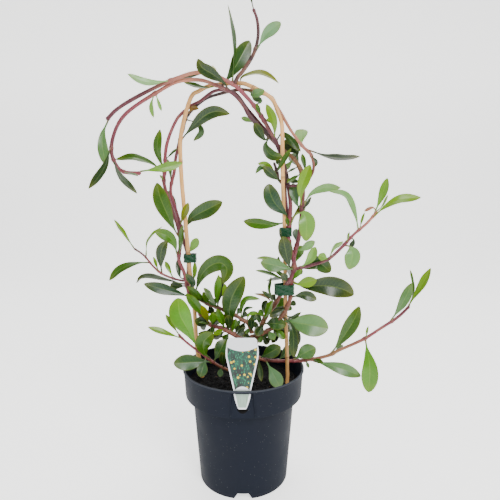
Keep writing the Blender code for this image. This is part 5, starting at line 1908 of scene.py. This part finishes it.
@dataclass
class PottingMix:
    """Bark and peat that fill the pot, with loose bits on top.

    Args:
        finish: Its material.
        crown: Height of the low dome's middle.
        edge: Radius of the dome.
        edge_height: Height of its edge.
        steps: Points round it.
        lump: Height of the lumps.
        lump_sizes: Lengths of the waves that make them.
        bits: How many loose bits lie on it.
        colours: Each colour that a bit can have, with its share.
    """

    finish: bpy.types.Material
    crown: float = 164.0
    edge: float = 94.9
    edge_height: float = 160.5
    steps: int = 260
    lump: float = 0.16
    lump_sizes: tuple[float, ...] = (31.0, 23.0, 15.0, 9.0, 6.0, 4.0, 2.7)
    bits: int = 900
    colours: dict[str, float] = field(default_factory=lambda: {
        "#100e10": 0.3, "#18161a": 0.25, "#282326": 0.2, "#40372f": 0.12, "#74614d": 0.05,
        "#0a090b": 0.08})

    def height(self, x: Array, y: Array) -> Array:
        """Lumps: the sum of waves of several sizes and directions.

        Args:
            x: Places across.
            y: Places in depth.

        Returns:
            The height that the lumps add there.
        """
        random = np.random.default_rng(7)
        total = np.zeros_like(x)
        for size in self.lump_sizes:
            angle = random.uniform(0, math.tau)
            phase = random.uniform(0, math.tau, 2)
            along = (x * math.cos(angle) + y * math.sin(angle)) * math.tau / size + phase[0]
            other = (y * math.cos(angle) - x * math.sin(angle)) * math.tau / size + phase[1]
            total += size ** 0.45 * np.sin(along) * np.cos(other)
        return total * self.lump

    def top(self, radius: Array) -> Array:
        """Height of the low dome before lumps: it falls with the square of the radius."""
        return self.crown - (self.crown - self.edge_height) * (radius / self.edge) ** 2

    def body(self) -> Shell:
        """The filled pot's inside, with a lumpy top."""
        radius = np.concatenate([[0.0], np.linspace(1.2, self.edge, 84)])
        side = np.array([(94.2, 148.2), (82.6, 147.9), (72.3, 12.4), (0.0, 12.4)])
        profile = np.vstack([np.stack([radius, self.top(radius)], axis=1), side])
        angle = circle(self.steps)
        lift = np.zeros((len(profile), self.steps))
        fade = 1.0 - ease(self.edge - 3.0, self.edge, radius)
        lift[:len(radius)] = self.height(
            radius[:, None] * np.cos(angle), radius[:, None] * np.sin(angle)) * fade[:, None]
        return turned_shell(profile, self.steps, "#141114", lift)

    def loose(self) -> list[Shell]:
        """Bits of bark: squashed and roughened balls of a few faces, half sunk in the mix."""
        random = np.random.default_rng(11)
        rows, around = 4, 6
        lat, lon = np.linspace(0.0, np.pi, rows + 2)[1:-1, None], circle(around)
        ball = grid(np.sin(lat) * np.cos(lon), np.sin(lat) * np.sin(lon), np.cos(lat))
        shells = []
        for _ in range(self.bits):
            size = random.lognormal(0.35, 0.42) * np.array([1.0, random.uniform(0.4, 0.8), 0.4])
            reach = (self.edge - 5.0) * math.sqrt(random.uniform())
            way = random.uniform(0, math.tau)
            turn, tip = random.uniform(0, math.tau), random.uniform(-0.5, 0.5)
            rough = ball * random.uniform(0.75, 1.2, (rows, around, 1)) * size
            tilt = np.array([[1, 0, 0], [0, math.cos(tip), math.sin(tip)],
                             [0, -math.sin(tip), math.cos(tip)]])
            x, y = reach * math.cos(way), reach * math.sin(way)
            z = self.top(np.array(reach)) + self.height(np.array(x), np.array(y)) + 0.2
            places = rough @ tilt @ turned(turn) + np.array([x, y, float(z)])
            colour = random.choice(list(self.colours), p=list(self.colours.values()))
            shells.append(tube_shell(
                places, plain_tint((rows, around), colour), np.zeros((rows, around, 2))))
        return shells

    def build(self) -> None:
        """Adds the filling and the loose bits as two pieces."""
        make_piece("mix_filling", [self.body()], self.finish, ["potting_mix"])
        make_piece("bark_bits", self.loose(), self.finish, ["potting_mix"],
                   sharp=50.0)


@dataclass
class PlantLabel:
    """Shield-shaped card on a tongue, standing in the pot's pocket.

    Args:
        finish: Its material.
        middle_x: Place across of its middle.
        back: How far its back stands forward.
        thickness: Thickness of the card.
        outline: Rows (height, half width).
    """

    finish: bpy.types.Material
    middle_x: float = -0.5
    back: float = 95.25
    thickness: float = 0.5
    outline: tuple[tuple[float, float], ...] = (
        (161.0, 4.6), (161.5, 5.6), (162.5, 6.4), (168.0, 8.5), (176.0, 10.9), (184.0, 12.4),
        (191.0, 13.0), (240.0, 23.3), (247.0, 24.0), (254.0, 23.4), (264.0, 21.7), (266.6, 21.1),
        (268.4, 20.2), (269.5, 18.9), (270.0, 17.0))

    def build(self) -> None:
        """Rings round the card at each height: front points from left to right, back ones after.

        The half width at a height is read from the outline.
        """
        heights, halves = np.array(self.outline).T
        up = np.unique(np.concatenate([heights, np.arange(162.0, 269.0, 1.5)]))[:, None]
        x = np.interp(up, heights, halves) * np.linspace(-1.0, 1.0, 15) + self.middle_x
        front, rear = grid(x, -self.back - self.thickness, up), grid(x, -self.back, up)
        rings = np.concatenate([front, rear[:, ::-1]], axis=1)
        tint = plain_tint(rings.shape[:2], "#eceef0")
        make_piece("label_card", [tube_shell(rings, tint, np.zeros((*rings.shape[:2], 2)))],
                   self.finish, ["plant_label"], sharp=30.0)


@dataclass
class TapeTie:
    """Band of garden tape round the cane and the stems beside it.

    Args:
        finish: Its material.
        node: The CAD node that it stands for.
        middle: Middle as (x, z, forward).
        half_width: Half its size across.
        half_depth: Half its size front to back.
        height: Height of the tape.
        corner: How square the band is; 2 is an oval.
        thickness: Thickness of the tape.
        across: Points across the tape on each side.
        around: Points round the band.
    """

    finish: bpy.types.Material
    node: str
    middle: tuple[float, float, float]
    half_width: float
    half_depth: float
    height: float
    corner: float = 3.5
    thickness: float = 0.5
    across: int = 13
    around: int = 96

    def build(self) -> None:
        """Carries a thin rounded strip round a rounded box.

        The box's radius at angle a is (|cos a / w| ** n + |sin a / d| ** n) ** (-1 / n). Creases
        move the strip in and out by a few waves, more at its edges.
        """
        random = np.random.default_rng(len(self.node))
        angle = circle(self.around)[:, None]
        reach = (np.abs(np.cos(angle) / self.half_width) ** self.corner
                 + np.abs(np.sin(angle) / self.half_depth) ** self.corner) ** (-1 / self.corner)
        rising = np.linspace(-0.5, 0.5, self.across)
        level = np.concatenate([rising, np.linspace(0.5, -0.5, self.across)])[None, :]
        outer = np.concatenate([np.ones(self.across), np.zeros(self.across)])[None, :]
        phase = random.uniform(0, math.tau, 3)
        crease = (0.18 * np.sin(7 * level + 3 * angle + phase[0])
                  + 0.14 * np.sin(19 * level - 5 * angle + phase[1])
                  + 0.3 * np.abs(level * 2) ** 4 * np.sin(6 * angle + phase[2]))
        fold = 0.5 * np.abs(np.sin(1.5 * angle + 5.0 * level + phase[0])) ** 6
        radius = reach + 1.0 + self.thickness * outer + crease * 0.6 + fold
        tall = self.height * 0.97 * level * (1.0 + 0.03 * np.sin(2 * angle + phase[1]))
        x, y, z = place(np.array([self.middle]))[0]
        rings = grid(x + radius * np.cos(angle), y + radius * np.sin(angle), z + tall)
        shell = band_shell(rings, plain_tint(rings.shape[:2], "#0f5a3c"), grid(angle, level))
        make_piece(f"{self.node}_tape", [shell], self.finish, [self.node],
                   sharp=60.0)


@dataclass
class Studio:
    """Pale floor that curves up into a backdrop, soft lamps and the camera. Sizes are in metres.

    Args:
        paper: Colour of the floor.
        cloud: Colour of its faint clouds.
        glow: Light that the floor gives off by itself.
        half_width: Half the floor's width.
        front: How far the floor reaches towards the viewer.
        bend: Where the floor starts to curve up, and the curve's radius.
        height: Height of the backdrop.
        air: Strength of the ambient light.
        lamps: For each lamp its place, the place that it points at, its size and its power.
    """

    paper: str = "#f2f2f1"
    cloud: str = "#e8e8e8"
    glow: float = 1.4
    half_width: float = 5.0
    front: float = 3.0
    bend: float = 1.2
    height: float = 4.5
    air: float = 0.3
    lamps: dict[str, tuple] = field(default_factory=lambda: {
        "key": ((0.7, -1.5, 1.8), (0.0, 0.0, 0.4), 0.9, 50.0),
        "fill": ((-1.6, -1.0, 1.2), (0.0, 0.0, 0.35), 1.4, 10.0),
        "top": ((0.1, 0.3, 2.1), (0.0, 0.0, 0.3), 1.4, 26.0),
    })

    def floor(self) -> None:
        """Sweeps an L-shaped line with a round corner along X."""
        turn = np.linspace(0.0, np.pi / 2, 17)
        curve = self.bend + self.bend * np.stack([np.sin(turn), -np.cos(turn)], axis=1)
        line = np.vstack([[(-self.front, 0.0)], curve, [(2 * self.bend, self.height)]])
        rows = np.stack([grid(x, line[:, 0], line[:, 1])
                         for x in (-self.half_width, self.half_width)])
        count = len(line)
        faces = [(i, count + i, count + i + 1, i + 1) for i in range(count - 1)]
        mesh = bpy.data.meshes.new("studio_floor")
        mesh.from_pydata(rows.reshape(-1, 3).tolist(), [], faces)
        mesh.shade_smooth()
        graph = Graph("studio_paper")
        soft = graph.noise(graph.places(), 3.0, 2.0)
        colour = graph.over(self.paper, self.cloud, soft, 0.3, 0.7, (0.0, 0.15))
        mesh.materials.append(graph.finish(
            Base_Color=colour, Roughness=0.9, Emission_Color=(1.0, 1.0, 1.0, 1.0),
            Emission_Strength=self.glow))
        floor = add_object("studio_floor", mesh)

    def lamp(self, name: str, spot: tuple, aim: tuple, size: float, power: float) -> None:
        """Adds a square soft lamp.

        Args:
            name: Its name.
            spot: Its place.
            aim: The place that it points at.
            size: Length of its sides.
            power: Its power in watts.
        """
        light = bpy.data.lights.new(name, "AREA")
        light.energy, light.size = power, size
        thing = add_object(name, light)
        thing.location = spot
        x, y, z = np.array(aim) - np.array(spot)
        thing.rotation_euler = (math.pi / 2 + math.atan2(z, math.hypot(x, y)), 0.0,
                                math.atan2(y, x) - math.pi / 2)

    def build(self) -> None:
        """Adds the floor, the lamps, the ambient light and the camera."""
        self.floor()
        for name, lamp in self.lamps.items():
            self.lamp(name, *lamp)
        world = bpy.data.worlds.new("studio_air")
        world.use_nodes = True
        background = world.node_tree.nodes["Background"]
        background.inputs["Color"].default_value = (1.0, 1.0, 1.0, 1.0)
        background.inputs["Strength"].default_value = self.air
        bpy.context.scene.world = world
        camera = bpy.data.cameras.new("camera")
        camera.lens, camera.sensor_width = CAMERA_LENS, CAMERA_SENSOR
        thing = add_object("camera", camera)
        thing.location = EYE * MM
        thing.rotation_euler = (math.radians(CAMERA_PITCH), 0.0, 0.0)
        bpy.context.scene.camera = thing


def main() -> None:
    """Builds every sub-assembly."""
    logging.basicConfig(level=logging.INFO, format="%(message)s")
    finishes = Finishes()
    NurseryPot(finishes.pot).build()
    PottingMix(finishes.mix).build()
    PlantLabel(finishes.label).build()
    Hoop(finishes.cane).build()
    Vine(finishes).build()
    for tie in TIES:
        TapeTie(finishes.tape, *tie).build()
    Studio().build()


if __name__ == "__main__":
    main()
